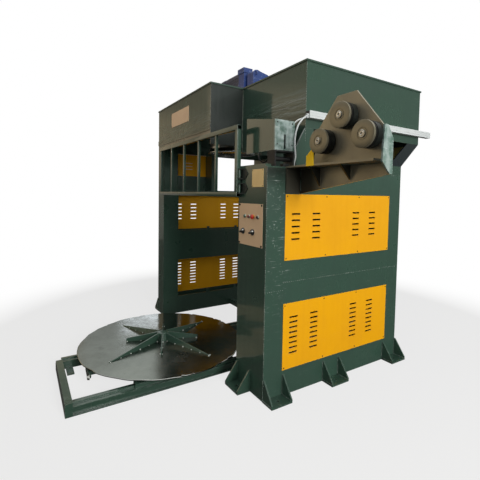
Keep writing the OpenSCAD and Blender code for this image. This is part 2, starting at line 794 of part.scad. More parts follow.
module arm_tab() color("gold") translate([0, 0, shelf_top - arm_t])
    plate_xz(yf + shelf_front - tab_t, tab_t) polygon([
        [xr + tab_x, 0], [xr + tab_x + tab_w, 0], [xr + tab_x + tab_w, tab_h * 0.8],
        [xr + tab_x + tab_w * 0.72, tab_h], [xr + tab_x, tab_h * 0.62]]);

// ---- cable trunking and conduit ----
trunk_y = yf + trunk_front;
trunk_z = hood_z + trunk_lift;
module cable_trunking() color("white") plate_xz(trunk_y, trunk_len) difference() {
    translate([xr, trunk_z]) square([trunk_w, trunk_h]);
    // shallow grooves of the snap-on cover
    for (z = [trunk_h * 0.3, trunk_h * 0.7])
        translate([xr + trunk_w - 2, trunk_z + z - 2]) square([3, 4]);
}
function unit(v) = v / norm(v);
// A smooth curve through hand-chosen points, n steps between two of them
function bent(p, i, t) = let(a = p[max(i - 1, 0)], b = p[i], c = p[i + 1], d = p[min(i + 2, len(p) - 1)])
    0.5 * (2 * b + (c - a) * t + (2 * a - 5 * b + 4 * c - d) * t * t
    + (3 * b - a - 3 * c + d) * t * t * t);
function route(p, n) = [for (i = [0:len(p) - 2], k = [0:n - 1]) bent(p, i, k / n), p[len(p) - 1]];
function ring_at(c, dir, r, sides) = let(u = unit(cross(dir, [1, 0.2, 0.1])), v = cross(unit(dir), u))
    [for (k = [0:sides - 1]) c + r * (u * cos(k * 360 / sides) + v * sin(k * 360 / sides))];
module tube(p, r, sides) {
    n = len(p);
    polyhedron(
        points = [for (i = [0:n - 1])
            each ring_at(p[i], p[min(i + 1, n - 1)] - p[max(i - 1, 0)], r, sides)],
        faces = concat([[for (k = [sides - 1:-1:0]) k]], [[for (k = [0:sides - 1]) (n - 1) * sides + k]],
            [for (i = [0:n - 2], k = [0:sides - 1])
                [i * sides + k, i * sides + (k + 1) % sides, (i + 1) * sides + (k + 1) % sides,
                    (i + 1) * sides + k]]));
}
// Two conduits leave the trunking's front end; one bends down beside the die plate and the
// other behind it, and both enter the leg's top
// heights are above the shelf, for this height of the trunking above it
conduit_rise = 390;
conduit_1 = [[22, 369.4, 413], [22, 366, 413], [22, 361, 413], [20, 345, 398], [15, 310, 365], [14, 280, 325], [14, 259, 272],
    [14, 249, 220], [14, 248, 170], [12, 256, 115], [4, 266, 70], [-10, 267, 33], [-16, 267, 0]];
conduit_2 = [[20, 369.4, 397], [20, 366, 397], [20, 361, 397], [8, 338, 385], [-6, 302, 373], [-22, 274, 347], [-34, 266, 305],
    [-42, 266, 225], [-50, 269, 125], [-54, 270, 45], [-54, 270, 0]];
module cable_conduit() color("lightgray") for (k = [0, 1])
    tube(route([for (q = [conduit_1, conduit_2][k]) [xr + q[0], yf + q[1],
        shelf_top + q[2] * (trunk_z - shelf_top) / conduit_rise]], 4),
        conduit_r - k, 10);

// ---- controls ----
module control_plate() color("tan") plate_xz(yf - ctrl_t, ctrl_t) difference() {
    translate([ctrl_x, ctrl_z]) square([ctrl_w, ctrl_h]);
    for (x = knob_x) translate([x, knob_z]) circle(r = spindle_r + run_c);
}
module push_buttons() color("red") for (i = [0:3])
    translate([ctrl_x + button_x[i], yf - ctrl_t, ctrl_z + button_up]) rotate([90, 0, 0])
        rotate_extrude() polygon(i == 2
            ? [[0, 0], [button_r + 4, 0], [button_r + 4, 5], [button_r - 3, 7], [button_r - 3, button_h * 0.55],
                [button_r + 7, button_h * 0.6], [button_r + 7, button_h * 0.85], [button_r, button_h],
                [0, button_h + 2]]
            : [[0, 0], [button_r + 4, 0], [button_r + 4, 4], [button_r + 1, 7], [button_r - 2, 7],
                [button_r - 2, button_h * 0.6 - 2], [button_r - 4, button_h * 0.6], [0, button_h * 0.6]]);
module rotary_switch(i) color("black") translate([knob_x[i], yf - ctrl_t, knob_z]) rotate([90, 0, 0]) {
    translate([0, 0, e]) linear_extrude(knob_h) union() {
        circle(r = knob_r * 0.72);
        for (a = [0:90:270]) rotate(a) translate([knob_r * 0.66, 0]) circle(r = knob_r * 0.34);
    }
    translate([0, 0, e - ctrl_t]) cylinder(r = spindle_r, h = ctrl_t);
}
module rotary_switch_left() rotary_switch(0);
module rotary_switch_right() rotary_switch(1);
module label_plate() color("tan") plate_xz(yf - ctrl_t, ctrl_t)
    translate([xr - ctrl_side - label_w, label_z]) square([label_w, label_h]);
module nameplate() color("beige") plate_xz(yf - ctrl_t, ctrl_t)
    translate([xl + name_x, hood_front_z + name_up]) square([name_l, name_h]);

// ---- drive on the hood ----
module gear_housing() color("royalblue") translate([drum_x, dy, hood_top]) {
    cylinder(r = flange_r, h = flange_t);
    cylinder(r1 = flange_r * 0.55, r2 = flange_r * 0.4, h = flange_t * 2.5);
    // low case, from the flange to the post and the cover
    translate([tower_x - tower_w / 2, tower_back - 20, 0])
        cube([tower_w + cover_gap + cover_w, case_d, case_h]);
    // post with its lid
    translate([tower_x - tower_w / 2, tower_back, 0]) cube([tower_w, tower_d, tower_h + lap]);
    translate([tower_x - tower_w / 2 - lid_lap, tower_back - lid_lap, tower_h])
        cube([tower_w + 2 * lid_lap, tower_d + 2 * lid_lap, lid_t]);
    // neck that carries the motor's flange
    translate([tower_x - tower_w / 2 - neck_l, tower_back + tower_d / 2, motor_h / 2])
        rotate([0, 90, 0]) cylinder(r = tower_d * 0.45, h = neck_l + lap);
    // rounded cover with a small lifting eye on its side
    translate([tower_x + tower_w / 2 + cover_gap, tower_back + 22, 0]) {
        plate_yz(0, cover_w) polygon([[0, 2], [cover_d, 2], [cover_d, cover_h * 0.8],
            [cover_d * 0.88, cover_h * 0.88], [cover_d * 0.45, cover_h * 0.95],
            [cover_d * 0.25, cover_h], [cover_d * 0.11, cover_h * 0.98], [0, cover_h * 0.89]]);
        translate([cover_w + eye_r * 0.5, cover_d * 0.15, cover_h * 0.85]) rotate([90, 0, 0])
            rotate_extrude() translate([eye_r, 0]) circle(r = eye_t, $fn = 24);
    }
}
module drive_motor() color("slateblue")
    translate([drum_x + tower_x - tower_w / 2 - neck_l - motor_l, dy + motor_back,
        hood_top]) {
        for (x = [cowl_l + 30, motor_l - 90]) translate([x, 10, 0])
            cube([60, motor_d - 20, motor_foot + lap]);
        // flat-sided case, with grooves between its cooling fins
        plate_yz(cowl_l, motor_l - cowl_l) translate([0, motor_foot]) difference() {
            offset(r = 14) offset(delta = -14) square([motor_d, motor_h]);
            for (z = [fin_step * 2:fin_step:motor_h - fin_step * 1.5], y = [0, motor_d])
                translate([y, z]) square([2 * fin_h, fin_step * 0.45], center = true);
            for (y = [fin_step * 1.5:fin_step:motor_d - fin_step * 1.2])
                translate([y, motor_h]) square([fin_step * 0.45, 2 * fin_h], center = true);
        }
        plate_yz(0, cowl_l + lap) translate([0, motor_foot])
            offset(r = 14) offset(delta = -9) square([motor_d, motor_h - 5]);
    }
module drum_sleeve() color("dimgray") translate([drum_x, dy, hood_top - deck_t - sleeve_l]) difference() {
    cylinder(r = shaft_r + sleeve_wall, h = sleeve_l);
    translate([0, 0, -1]) cylinder(r = shaft_r + run_c, h = sleeve_l - 10);
}

// ---- gate ----
gate_x0 = xl + 5;
gate_x1 = hinge_x - barrel_r - 5;
gate_w = gate_x1 - gate_x0;
module gate() color("darkslategray") {
    translate([0, hinge_y - gate_tube / 2, 0]) {
        for (z = [gate_z, gate_z + gate_h - gate_tube])
            translate([gate_x0, 0, z]) cube([gate_w, gate_tube, gate_tube]);
        for (x = [gate_x0, gate_x1 - gate_tube])
            translate([x, 0, gate_z]) cube([gate_tube, gate_tube, gate_h]);
        for (i = [1:gate_bars]) translate([gate_x0 + i * gate_w / (gate_bars + 1) - gate_bar / 2,
            (gate_tube - gate_bar) / 2, gate_z + gate_tube])
            cube([gate_bar, gate_bar, gate_h - 2 * gate_tube]);
    }
    for (z = barrel_z) translate([hinge_x, hinge_y, z]) difference() {
        union() {
            cylinder(r = barrel_r, h = barrel_h);
            translate([gate_x1 - hinge_x, -8, 0]) cube([hinge_x - gate_x1, 16, barrel_h]);
        }
        translate([0, 0, -1]) cylinder(r = hinge_pin_r + run_c, h = barrel_h + 2);
    }
}
module gate_hinges() color("dimgray") for (z = barrel_z) {
    translate([hinge_x, hinge_y, z - 14]) cylinder(r = hinge_pin_r, h = barrel_h + 28);
    for (dz = [-14, barrel_h + 6]) translate([hinge_x - hinge_pin_r, hinge_y - hinge_pin_r, z + dz])
        linear_extrude(8) polygon([[0, 0], [2 * hinge_pin_r, 0], [36 + hinge_pin_r, yf - hinge_y + hinge_pin_r - lap],
            [36 + hinge_pin_r, yf - hinge_y + hinge_pin_r], [0, yf - hinge_y + hinge_pin_r]]);
    plate_xz(yf - strap_t, strap_t) polygon([[hinge_x - hinge_pin_r, z - 14],
        [hinge_x + strap_l * 0.6, z - 14], [hinge_x + strap_l, z + barrel_h / 2],
        [hinge_x + strap_l * 0.6, z + barrel_h + 14], [hinge_x - hinge_pin_r, z + barrel_h + 14]]);
}

// ---- drum, hanging from the deck ----
module drum() color("silver") translate([drum_x, dy, 0]) {
    rotate_extrude() polygon([
        [0, drum_z + 60], [shaft_r + 40, drum_z + 60], [drum_r - drum_wall, drum_z + 20],
        [drum_r - drum_wall, drum_z], [drum_r + drum_rim, drum_z],
        [drum_r + drum_rim, drum_z + 16], [drum_r, drum_z + 34],
        [drum_r, drum_z + drum_h], [drum_r - drum_wall, drum_z + drum_h],
        [drum_r - drum_wall, drum_z + 50], [shaft_r + 40, drum_z + 90],
        [shaft_r + 30, hood_top - deck_t - sleeve_l - e], [shaft_r, hood_top - deck_t - sleeve_l - e],
        [shaft_r, hood_top - deck_t - 12], [0, hood_top - deck_t - 12]]);
}

// ---- floor rails, carriage and turntable ----
module rail(x, out) translate([x, rail_y, 0]) {
    rotate([90, 0, 180]) linear_extrude(rail_len) scale([-out, 1]) difference() {
        translate([-rail_w / 2, 0]) square([rail_w, rail_h]);
        // open below
        translate([-rail_w / 2 + rail_t, -1])
            square([rail_w - 2 * rail_t - rail_lip, rail_h - rail_t + 1]);
        // open to the outside, above a narrow lower flange
        translate([rail_w / 2 - rail_lip, rail_t]) square([rail_lip + 1, rail_h - 2 * rail_t]);
    }
    translate([-guide_w / 2, 0, rail_h]) cube([guide_w, rail_len, guide_h]);
}
module floor_rails() color("darkgreen") {
    rail(rail_near, 1);
    rail(rail_far, -1);
    // anchor plate beside the far rail's front end
    translate([rail_far + rail_w / 2 - lap, rail_y + 28, 0]) cube([anchor_l, anchor_w, anchor_t]);
    // front end member with its chamfered far end
    plate_xz(rail_y - end_w, end_w + lap) polygon([[rail_far + 25, 0],
        [rail_near + rail_w / 2, 0], [rail_near + rail_w / 2, end_h],
        [rail_far + 25 + end_cut, end_h], [rail_far + 25, end_h - end_cut]]);
    // rear cross-member, from leg to leg
    translate([xj, rail_y + rail_len - lap, 0]) cube([xi - xj, rail_tie_w, rail_h]);
}
module carriage() color("darkgreen") difference() {
    union() {
        for (x = [rail_near, rail_far])
            translate([x - runner_w / 2, disc_y - runner_l / 2, runner_z])
                cube([runner_w, runner_l, runner_h]);
        for (y = [-runner_l / 2 + 60, -bar_w / 2, runner_l / 2 - 60 - bar_w])
            translate([rail_far, disc_y + y, runner_z])
                cube([rail_near - rail_far, bar_w, runner_h]);
        translate([disc_x, disc_y, runner_z]) cylinder(r = boss_r, h = disc_z - e - runner_z);
        // tongue to the front, with the lug under the disc's edge
        translate([lug_x - bar_w / 2, disc_y - lug_out, runner_z])
            cube([bar_w, lug_out - runner_l / 2 + 60 + lap, runner_h]);
        plate_xz(disc_y - lug_out, rib_t) translate([lug_x, runner_z]) polygon([
            [-lug_w / 2, runner_h], [-lug_w / 2, -18], [-40, -48], [0, -48],
            [lug_w / 2 - 20, 4], [lug_w / 2, runner_h]]);
    }
    // grooves over the rails' guide strips
    for (x = [rail_near, rail_far])
        translate([x - guide_w / 2 - 1, disc_y - runner_l / 2 - 1, runner_z - 1])
            cube([guide_w + 2, runner_l + 2, guide_h + 3]);
    // pivot bore
    translate([disc_x, disc_y, runner_z + boss_floor])
        cylinder(r = pivot_r + run_c, h = disc_z);
}
module rib(l, tip) rotate([90, 0, 0]) translate([0, 0, -rib_t / 2]) linear_extrude(rib_t)
    polygon([[hub_r - 5, 0], [l, 0], [l, tip], [hub_r - 5, rib_h]]);
module turntable() color("darkgreen") translate([disc_x, disc_y, disc_z]) {
    cylinder(r = disc_r, h = disc_t, $fn = 96);
    translate([0, 0, -pivot_l]) cylinder(r = pivot_r, h = pivot_l);
    translate([0, 0, disc_t]) {
        cylinder(r = hub_r, h = rib_h);
        for (a = [0:90:270]) {
            rotate(rib_turn + a) rib(rib_long, 2);
            rotate(rib_turn + 45 + a) rib(rib_short, 30);
        }
    }
}

right_side_plate();
right_inner_plate();
right_leg_ends();
left_side_plate();
left_inner_plate();
left_leg_ends();
right_upper_panel();
right_lower_panel();
left_upper_panel();
left_lower_panel();
left_top_panel();
left_upper_frame();
hood_walls();
hood_deck();
hood_braces();
rear_tie_beam();
anchor_feet();
arm_bracket();
roller_plate();
arm_end_plate();
roller_axles();
die_plate();
die_holder();
die_supports();
ring_guide();
arm_tab();
cable_trunking();
cable_conduit();
control_plate();
push_buttons();
rotary_switch_left();
rotary_switch_right();
label_plate();
nameplate();
gear_housing();
drive_motor();
drum_sleeve();
gate();
gate_hinges();
drum();
roller_1();
roller_2();
roller_3();
floor_rails();
carriage();
turntable();
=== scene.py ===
# %% [markdown]
# # Dressing a wire drawing machine
# The machine is a tall portal of welded plate with a drum hanging in its hood, three guide
# rollers on a side arm, a barred gate and a coil turntable on floor rails. The solids come
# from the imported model, so this lesson is about finishes and small fittings: paint that has
# been knocked about, weld beads, screws, fins and a flame-cut disc.

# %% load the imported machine
import json
import math
import random

import bmesh
import bpy
from mathutils import Matrix, Vector


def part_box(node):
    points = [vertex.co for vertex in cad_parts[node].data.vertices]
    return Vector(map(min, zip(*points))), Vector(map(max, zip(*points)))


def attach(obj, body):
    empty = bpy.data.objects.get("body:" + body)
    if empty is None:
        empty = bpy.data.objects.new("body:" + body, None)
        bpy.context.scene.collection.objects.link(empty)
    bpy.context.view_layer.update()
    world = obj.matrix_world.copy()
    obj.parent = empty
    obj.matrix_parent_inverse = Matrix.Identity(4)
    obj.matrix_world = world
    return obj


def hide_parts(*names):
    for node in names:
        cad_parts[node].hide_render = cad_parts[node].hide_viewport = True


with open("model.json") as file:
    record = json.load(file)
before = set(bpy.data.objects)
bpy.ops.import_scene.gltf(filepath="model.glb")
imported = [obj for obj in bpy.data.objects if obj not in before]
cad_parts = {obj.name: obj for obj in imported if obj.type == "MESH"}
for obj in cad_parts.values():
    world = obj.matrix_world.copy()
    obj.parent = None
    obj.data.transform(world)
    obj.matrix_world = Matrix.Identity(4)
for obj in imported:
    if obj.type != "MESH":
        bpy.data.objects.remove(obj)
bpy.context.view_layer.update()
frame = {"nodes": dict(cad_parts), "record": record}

# %% [markdown]
# ## The camera
# A perspective camera repeats the view that the photograph was taken from: standing height,
# in front of the right leg, looking left along the front. Its turn, tilt and lens were worked
# out beforehand from straight edges, so here they are plain numbers.

# %% camera
EYE = Vector((3.356, -2.372, 1.6))
TURN, TILT, ROLL = math.radians(58.12), math.radians(-2.89), math.radians(0.94)
forward = Vector((-math.sin(TURN) * math.cos(TILT), math.cos(TURN) * math.cos(TILT), math.sin(TILT)))
side = Vector((math.cos(TURN), math.sin(TURN), 0))
upward = side.cross(forward)
right_of_view = side * math.cos(ROLL) + upward * math.sin(ROLL)
top_of_view = upward * math.cos(ROLL) - side * math.sin(ROLL)
lens = bpy.data.cameras.new("camera")
camera = bpy.data.objects.new("camera", lens)
bpy.context.scene.collection.objects.link(camera)
pose = Matrix((right_of_view, top_of_view, -forward)).transposed()
camera.matrix_world = Matrix.Translation(EYE) @ pose.to_4x4()
lens.sensor_width = 36
lens.lens = 26.32
lens.shift_x = -0.0006
lens.shift_y = -0.0575
lens.clip_start, lens.clip_end = 0.05, 200
bpy.context.scene.camera = camera
print("camera", tuple(round(v, 3) for v in EYE))

# %% [markdown]
# ## Two thin cables
# Two light cables leave the white trunking and hang down to the side shelf, where they go into
# the machine again. A cable has one real length, so each is a curve along the same points as
# its solid, given here from the shelf's corner and rounded by a Catmull-Rom spline, which
# passes through every point. They come first, because a cord decides how much room is needed.

# %% the cables
SHELF = Vector((1.226, -0.816, 1.825))
CABLE_POINTS = {
    "cable_front": (13.0, [(22, 369.7, 413), (20, 347, 399), (15, 310, 365), (14, 280, 325), (14, 259, 272),
                           (14, 249, 220), (14, 248, 170), (12, 256, 115), (4, 266, 70), (-10, 267, 33),
                           (-16, 267, 0)]),
    "cable_back": (11.0, [(20, 369.7, 397), (8, 338, 387), (-6, 302, 373), (-22, 274, 347), (-34, 266, 305),
                          (-42, 266, 225), (-50, 269, 125), (-54, 270, 45), (-54, 270, 0)]),
}


def smooth_route(points, steps=3):
    """Points of a Catmull-Rom spline through the given ones."""
    found, last = [], len(points) - 1
    for i in range(last):
        a, b, c, d = (Vector(points[k]) for k in (max(i - 1, 0), i, i + 1, min(i + 2, last)))
        for k in range(steps):
            t = k / steps
            found.append((2 * b + (c - a) * t + (2 * a - 5 * b + 4 * c - d) * t * t + (3 * b - a - 3 * c + d) * t ** 3) / 2)
    return found + [Vector(points[last])]


cables = []
for name, (thick, points) in CABLE_POINTS.items():
    route = [SHELF + p / 1000 for p in smooth_route(points)]
    line = bpy.data.curves.new(name, "CURVE")
    line.dimensions = "3D"
    line.bevel_depth = thick / 2000
    line.bevel_resolution = 4
    line.use_fill_caps = True
    spline = line.splines.new("POLY")
    spline.points.add(len(route) - 1)
    for spot, p in zip(spline.points, route):
        spot.co = (*p, 1)
    cable = bpy.data.objects.new(name, line)
    bpy.context.scene.collection.objects.link(cable)
    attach(cable, "stand")
    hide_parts("cable_conduit")
    cables.append(cable)

# %% [markdown]
# ## Soft light
# The light is soft daylight: a dim dome, a broad lamp at the right, a weak one low beside it
# and a third overhead. The dome is white to the camera and to mirror images, and dimmer to
# everything else, so that the backdrop stays white without flooding the machine.


# %% small helpers for node trees
def node(tree, kind, label=None, **values):
    """Adds a node; values sets its properties first and its sockets by name otherwise."""
    made = tree.nodes.new(kind)
    if label:
        made.label = label
    for name, value in values.items():
        if hasattr(made, name):
            setattr(made, name, value)
        else:
            made.inputs[name.replace("_", " ")].default_value = value
    return made


def wire(tree, out, into):
    tree.links.new(out, into)


def mathed(tree, operation, a, b=None, clamp=False):
    """A Math node; a and b are sockets or numbers."""
    made = node(tree, "ShaderNodeMath", operation=operation)
    made.use_clamp = clamp
    for index, value in enumerate((a, b)):
        if value is None:
            continue
        if isinstance(value, (int, float)):
            made.inputs[index].default_value = value
        else:
            wire(tree, value, made.inputs[index])
    return made.outputs[0]


def ramped(tree, value, low, high):
    """Maps low..high to 0..1 and clamps."""
    made = node(tree, "ShaderNodeMapRange")
    made.inputs["From Min"].default_value = low
    made.inputs["From Max"].default_value = high
    wire(tree, value, made.inputs["Value"])
    return made.outputs["Result"]


def mixed(tree, mask, first, second):
    """Mixes two colours by a mask; each colour is a socket or an (r, g, b)."""
    made = node(tree, "ShaderNodeMix", data_type="RGBA")
    wire(tree, mask, made.inputs[0])
    for index, value in ((6, first), (7, second)):
        if isinstance(value, tuple):
            made.inputs[index].default_value = (*value, 1)
        else:
            wire(tree, value, made.inputs[index])
    return made.outputs[2]


def object_axes(tree):
    """X, Y and Z of the shaded point in the machine's frame."""
    axes = node(tree, "ShaderNodeSeparateXYZ")
    wire(tree, node(tree, "ShaderNodeTexCoord").outputs["Object"], axes.inputs[0])
    return axes.outputs


print("node helpers ready")


# %% world
world = bpy.data.worlds.new("dome")
bpy.context.scene.world = world
world.use_nodes = True
dome = world.node_tree
dome.nodes.clear()
DOME_LIGHT = 0.58
seen = node(dome, "ShaderNodeLightPath")
shown = mathed(dome, "MAXIMUM", seen.outputs["Is Camera Ray"], seen.outputs["Is Glossy Ray"])
shown = mathed(dome, "MAXIMUM", shown, seen.outputs["Is Transmission Ray"])
dome_light = node(dome, "ShaderNodeBackground", Strength=DOME_LIGHT)
dome_light.inputs["Color"].default_value = (0.95, 0.98, 1.0, 1)
dome_white = node(dome, "ShaderNodeBackground", Strength=1.0)
dome_white.inputs["Color"].default_value = (1, 1, 1, 1)
dome_mix = node(dome, "ShaderNodeMixShader")
wire(dome, shown, dome_mix.inputs[0])
wire(dome, dome_light.outputs[0], dome_mix.inputs[1])
wire(dome, dome_white.outputs[0], dome_mix.inputs[2])
dome_out = node(dome, "ShaderNodeOutputWorld")
wire(dome, dome_mix.outputs[0], dome_out.inputs[0])
bpy.context.scene.view_settings.view_transform = "Standard"
print("dome light", DOME_LIGHT)


# %% lamps
def soft_lamp(name, place, target, size, power, colour=(1, 1, 1)):
    data = bpy.data.lights.new(name, "AREA")
    data.shape = "SQUARE"
    data.size = size
    data.energy = power
    data.color = colour
    lamp = bpy.data.objects.new(name, data)
    bpy.context.scene.collection.objects.link(lamp)
    lamp.location = place
    lamp.rotation_euler = (Vector(target) - Vector(place)).to_track_quat("-Z", "Y").to_euler()
    return lamp


soft_lamp("side_lamp", (9.3, -0.6, 3.8), (1.0, 0.1, 1.2), 3.0, 430, (1.0, 0.99, 0.97))
soft_lamp("low_lamp", (8.5, -0.2, 0.9), (1.2, 0, 0.5), 3.0, 110, (1.0, 0.99, 0.97))
soft_lamp("top_lamp", (0.0, -0.5, 7.5), (0, 0, 0), 5.0, 80)

# %% [markdown]
# ## Floor
# The floor is matt to the light, so the machine stands in its own soft shadow. To the camera
# it is mixed with plain white, more so farther out, and ends without an edge.

# %% floor
floor_mesh = bpy.data.meshes.new("floor")
REACH = 60
floor_mesh.from_pydata([(-REACH, -REACH, 0), (REACH, -REACH, 0), (REACH, REACH, 0), (-REACH, REACH, 0)], [],
                       [(0, 1, 2, 3)])
floor = bpy.data.objects.new("floor", floor_mesh)
bpy.context.scene.collection.objects.link(floor)
floor_paint = bpy.data.materials.new("pale_floor")
floor_paint.use_nodes = True
ground = floor_paint.node_tree
ground.nodes.clear()
spot = node(ground, "ShaderNodeTexCoord")
span = node(ground, "ShaderNodeVectorMath", operation="LENGTH")
wire(ground, spot.outputs["Object"], span.inputs[0])
fade = node(ground, "ShaderNodeMapRange")
fade.interpolation_type = "SMOOTHERSTEP"
fade.inputs["From Min"].default_value = 0.6
fade.inputs["From Max"].default_value = 4.4
wire(ground, span.outputs["Value"], fade.inputs["Value"])
matt = node(ground, "ShaderNodeBsdfDiffuse")
matt.inputs["Color"].default_value = (0.86, 0.86, 0.855, 1)
white = node(ground, "ShaderNodeEmission", Strength=1.0)
ray = node(ground, "ShaderNodeLightPath")
ray_shown = mathed(ground, "MAXIMUM", ray.outputs["Is Camera Ray"], ray.outputs["Is Glossy Ray"])
ray_shown = mathed(ground, "MAXIMUM", ray_shown, ray.outputs["Is Transmission Ray"])
lift = node(ground, "ShaderNodeMath", operation="MAXIMUM")
lift.inputs[1].default_value = 0.74
wire(ground, fade.outputs["Result"], lift.inputs[0])
only_seen = node(ground, "ShaderNodeMath", operation="MULTIPLY")
wire(ground, lift.outputs[0], only_seen.inputs[0])
wire(ground, ray_shown, only_seen.inputs[1])
blend_floor = node(ground, "ShaderNodeMixShader")
wire(ground, only_seen.outputs[0], blend_floor.inputs[0])
wire(ground, matt.outputs[0], blend_floor.inputs[1])
wire(ground, white.outputs[0], blend_floor.inputs[2])
ground_out = node(ground, "ShaderNodeOutputMaterial")
wire(ground, blend_floor.outputs[0], ground_out.inputs[0])
floor_mesh.materials.append(floor_paint)
print("floor reach", REACH)

# %% [markdown]
# ## Cards for the reflections
# Gloss paint mirrors what stands round it, so a plain white studio would wash it out. As a
# product photographer would, this step sets up cards that the camera doesn't see: brown ones
# at the front left, grey and green ones behind, a dark one at the right, a pale strip for one
# highlight, and a dark mat. The brown ones and the mat tint the soft light too. Each upright
# card is a part of a circle round the machine, and its colour changes with height.


# %% cards
def card(name, corners, shades, soft=True):
    """A card that only reflections (and, if soft, diffuse light) see; shades is (height, colour) pairs."""
    mesh = bpy.data.meshes.new(name)
    count = len(corners) // 2
    mesh.from_pydata(corners, [], [(2 * i, 2 * i + 2, 2 * i + 3, 2 * i + 1) for i in range(count - 1)])
    made = bpy.data.objects.new(name, mesh)
    bpy.context.scene.collection.objects.link(made)
    paint = bpy.data.materials.new(name)
    paint.use_nodes = True
    tree = paint.node_tree
    tree.nodes.clear()
    axes = object_axes(tree)
    glow = node(tree, "ShaderNodeEmission", Strength=1.0)
    shade = shades[0][1]
    for (low, _), (high, colour) in zip(shades, shades[1:]):
        shade = mixed(tree, ramped(tree, axes["Z"], low, high), shade, colour)
    if isinstance(shade, tuple):
        glow.inputs["Color"].default_value = (*shade, 1)
    else:
        wire(tree, shade, glow.inputs["Color"])
    out = node(tree, "ShaderNodeOutputMaterial")
    wire(tree, glow.outputs[0], out.inputs[0])
    mesh.materials.append(paint)
    made.visible_camera = False
    made.visible_shadow = False
    made.visible_diffuse = soft
    return made


def ring(start, stop, radius, bottom, top, steps=12):
    """Corner pairs of an upright wall on part of a circle; the angles are in degrees."""
    found = []
    for i in range(steps + 1):
        a = math.radians(start + (stop - start) * i / steps)
        for z in (bottom, top):
            found.append((radius * math.cos(a), radius * math.sin(a), z))
    return found


card("brown_left", ring(186, 212, 9.0, 0.0, 7.5), [(1.3, (0.20, 0.19, 0.17)), (2.3, (0.42, 0.335, 0.225)),
                                                   (4.0, (0.36, 0.29, 0.19)), (4.6, (0.17, 0.14, 0.10))])
card("brown_right", ring(212, 262, 9.0, 0.0, 7.5), [(1.3, (0.04, 0.035, 0.025)), (2.4, (0.70, 0.56, 0.38)),
                                                    (4.9, (0.90, 0.72, 0.50)), (5.6, (0.30, 0.255, 0.18))])
card("grey_hall", ring(98, 186, 9.0, 0.0, 8.0), [(1.6, (0.06, 0.065, 0.06)), (3.4, (0.40, 0.42, 0.40)),
                                                 (5.0, (0.62, 0.66, 0.62))], soft=False)
card("pale_window", ring(166, 177, 8.8, 2.75, 3.3), [(0.0, (1.9, 2.0, 2.15))], soft=False)
card("green_yard", ring(-6, 98, 9.0, 0.0, 7.0), [(0.6, (0.06, 0.07, 0.06)), (3.0, (0.17, 0.21, 0.185))],
     soft=False)
card("dark_gate", ring(-98, -6, 9.0, 0.0, 7.5), [(0.4, (0.045, 0.05, 0.04)), (3.0, (0.06, 0.065, 0.055))],
     soft=False)
card("dark_mat", [(-9, -9, 0.004), (-9, 9, 0.004), (9, -9, 0.004), (9, 9, 0.004)],
     [(0.0, (0.055, 0.055, 0.05))])

# %% [markdown]
# ## Wear that several finishes share
# Painted plate, bare steel and plastic all age in the same few ways, so each way is one
# shader group with its own sizes. `edge_wear` compares the true normal with a rounded one,
# which differs only near edges. `sheet_waves` gives the faint unevenness of brushed-on gloss
# paint. `grime` is broad staining that also runs down a wall, and `scuffs` is thin scratches.


# %% shader group helper
def shader_group(name, inputs, outputs):
    """A group tree with named float inputs (name, default) and float outputs."""
    tree = bpy.data.node_groups.new(name, "ShaderNodeTree")
    for label, value in inputs:
        socket = tree.interface.new_socket(label, in_out="INPUT", socket_type="NodeSocketFloat")
        socket.default_value = value
    for label in outputs:
        tree.interface.new_socket(label, in_out="OUTPUT", socket_type="NodeSocketFloat")
    return tree, node(tree, "NodeGroupInput"), node(tree, "NodeGroupOutput")


# %% edge wear
edge_wear, given, gives = shader_group("edge_wear", [("Width", 0.004), ("Amount", 1.0), ("Scale", 30.0)],
                                       ["Mask"])
rounded = node(edge_wear, "ShaderNodeBevel", samples=4)
wire(edge_wear, given.outputs["Width"], rounded.inputs["Radius"])
true_normal = node(edge_wear, "ShaderNodeNewGeometry")
agree = node(edge_wear, "ShaderNodeVectorMath", operation="DOT_PRODUCT")
wire(edge_wear, rounded.outputs["Normal"], agree.inputs[0])
wire(edge_wear, true_normal.outputs["Normal"], agree.inputs[1])
differ = mathed(edge_wear, "SUBTRACT", 1.0, agree.outputs["Value"])
near_edge = ramped(edge_wear, differ, 0.02, 0.22)
where = node(edge_wear, "ShaderNodeTexCoord")
patches = node(edge_wear, "ShaderNodeTexNoise", Detail=4.0, Roughness=0.65)
wire(edge_wear, where.outputs["Object"], patches.inputs["Vector"])
wire(edge_wear, given.outputs["Scale"], patches.inputs["Scale"])
broken = ramped(edge_wear, patches.outputs["Fac"], 0.47, 0.60)
worn = mathed(edge_wear, "MULTIPLY", near_edge, broken)
worn = mathed(edge_wear, "MULTIPLY", worn, given.outputs["Amount"], clamp=True)
wire(edge_wear, worn, gives.inputs["Mask"])

# %% sheet waves
sheet_waves, given, gives = shader_group("sheet_waves", [("Peel", 1.0), ("Waves", 1.0)], ["Height"])
where = node(sheet_waves, "ShaderNodeTexCoord")
fine = node(sheet_waves, "ShaderNodeTexNoise", Scale=260.0, Detail=2.0)
broad = node(sheet_waves, "ShaderNodeTexNoise", Scale=2.6, Detail=2.0)
for texture in (fine, broad):
    wire(sheet_waves, where.outputs["Object"], texture.inputs["Vector"])
fine_part = mathed(sheet_waves, "MULTIPLY", fine.outputs["Fac"], given.outputs["Peel"])
fine_part = mathed(sheet_waves, "MULTIPLY", fine_part, 0.00012)
broad_part = mathed(sheet_waves, "MULTIPLY", broad.outputs["Fac"], given.outputs["Waves"])
broad_part = mathed(sheet_waves, "MULTIPLY", broad_part, 0.006)
wire(sheet_waves, mathed(sheet_waves, "ADD", fine_part, broad_part), gives.inputs["Height"])

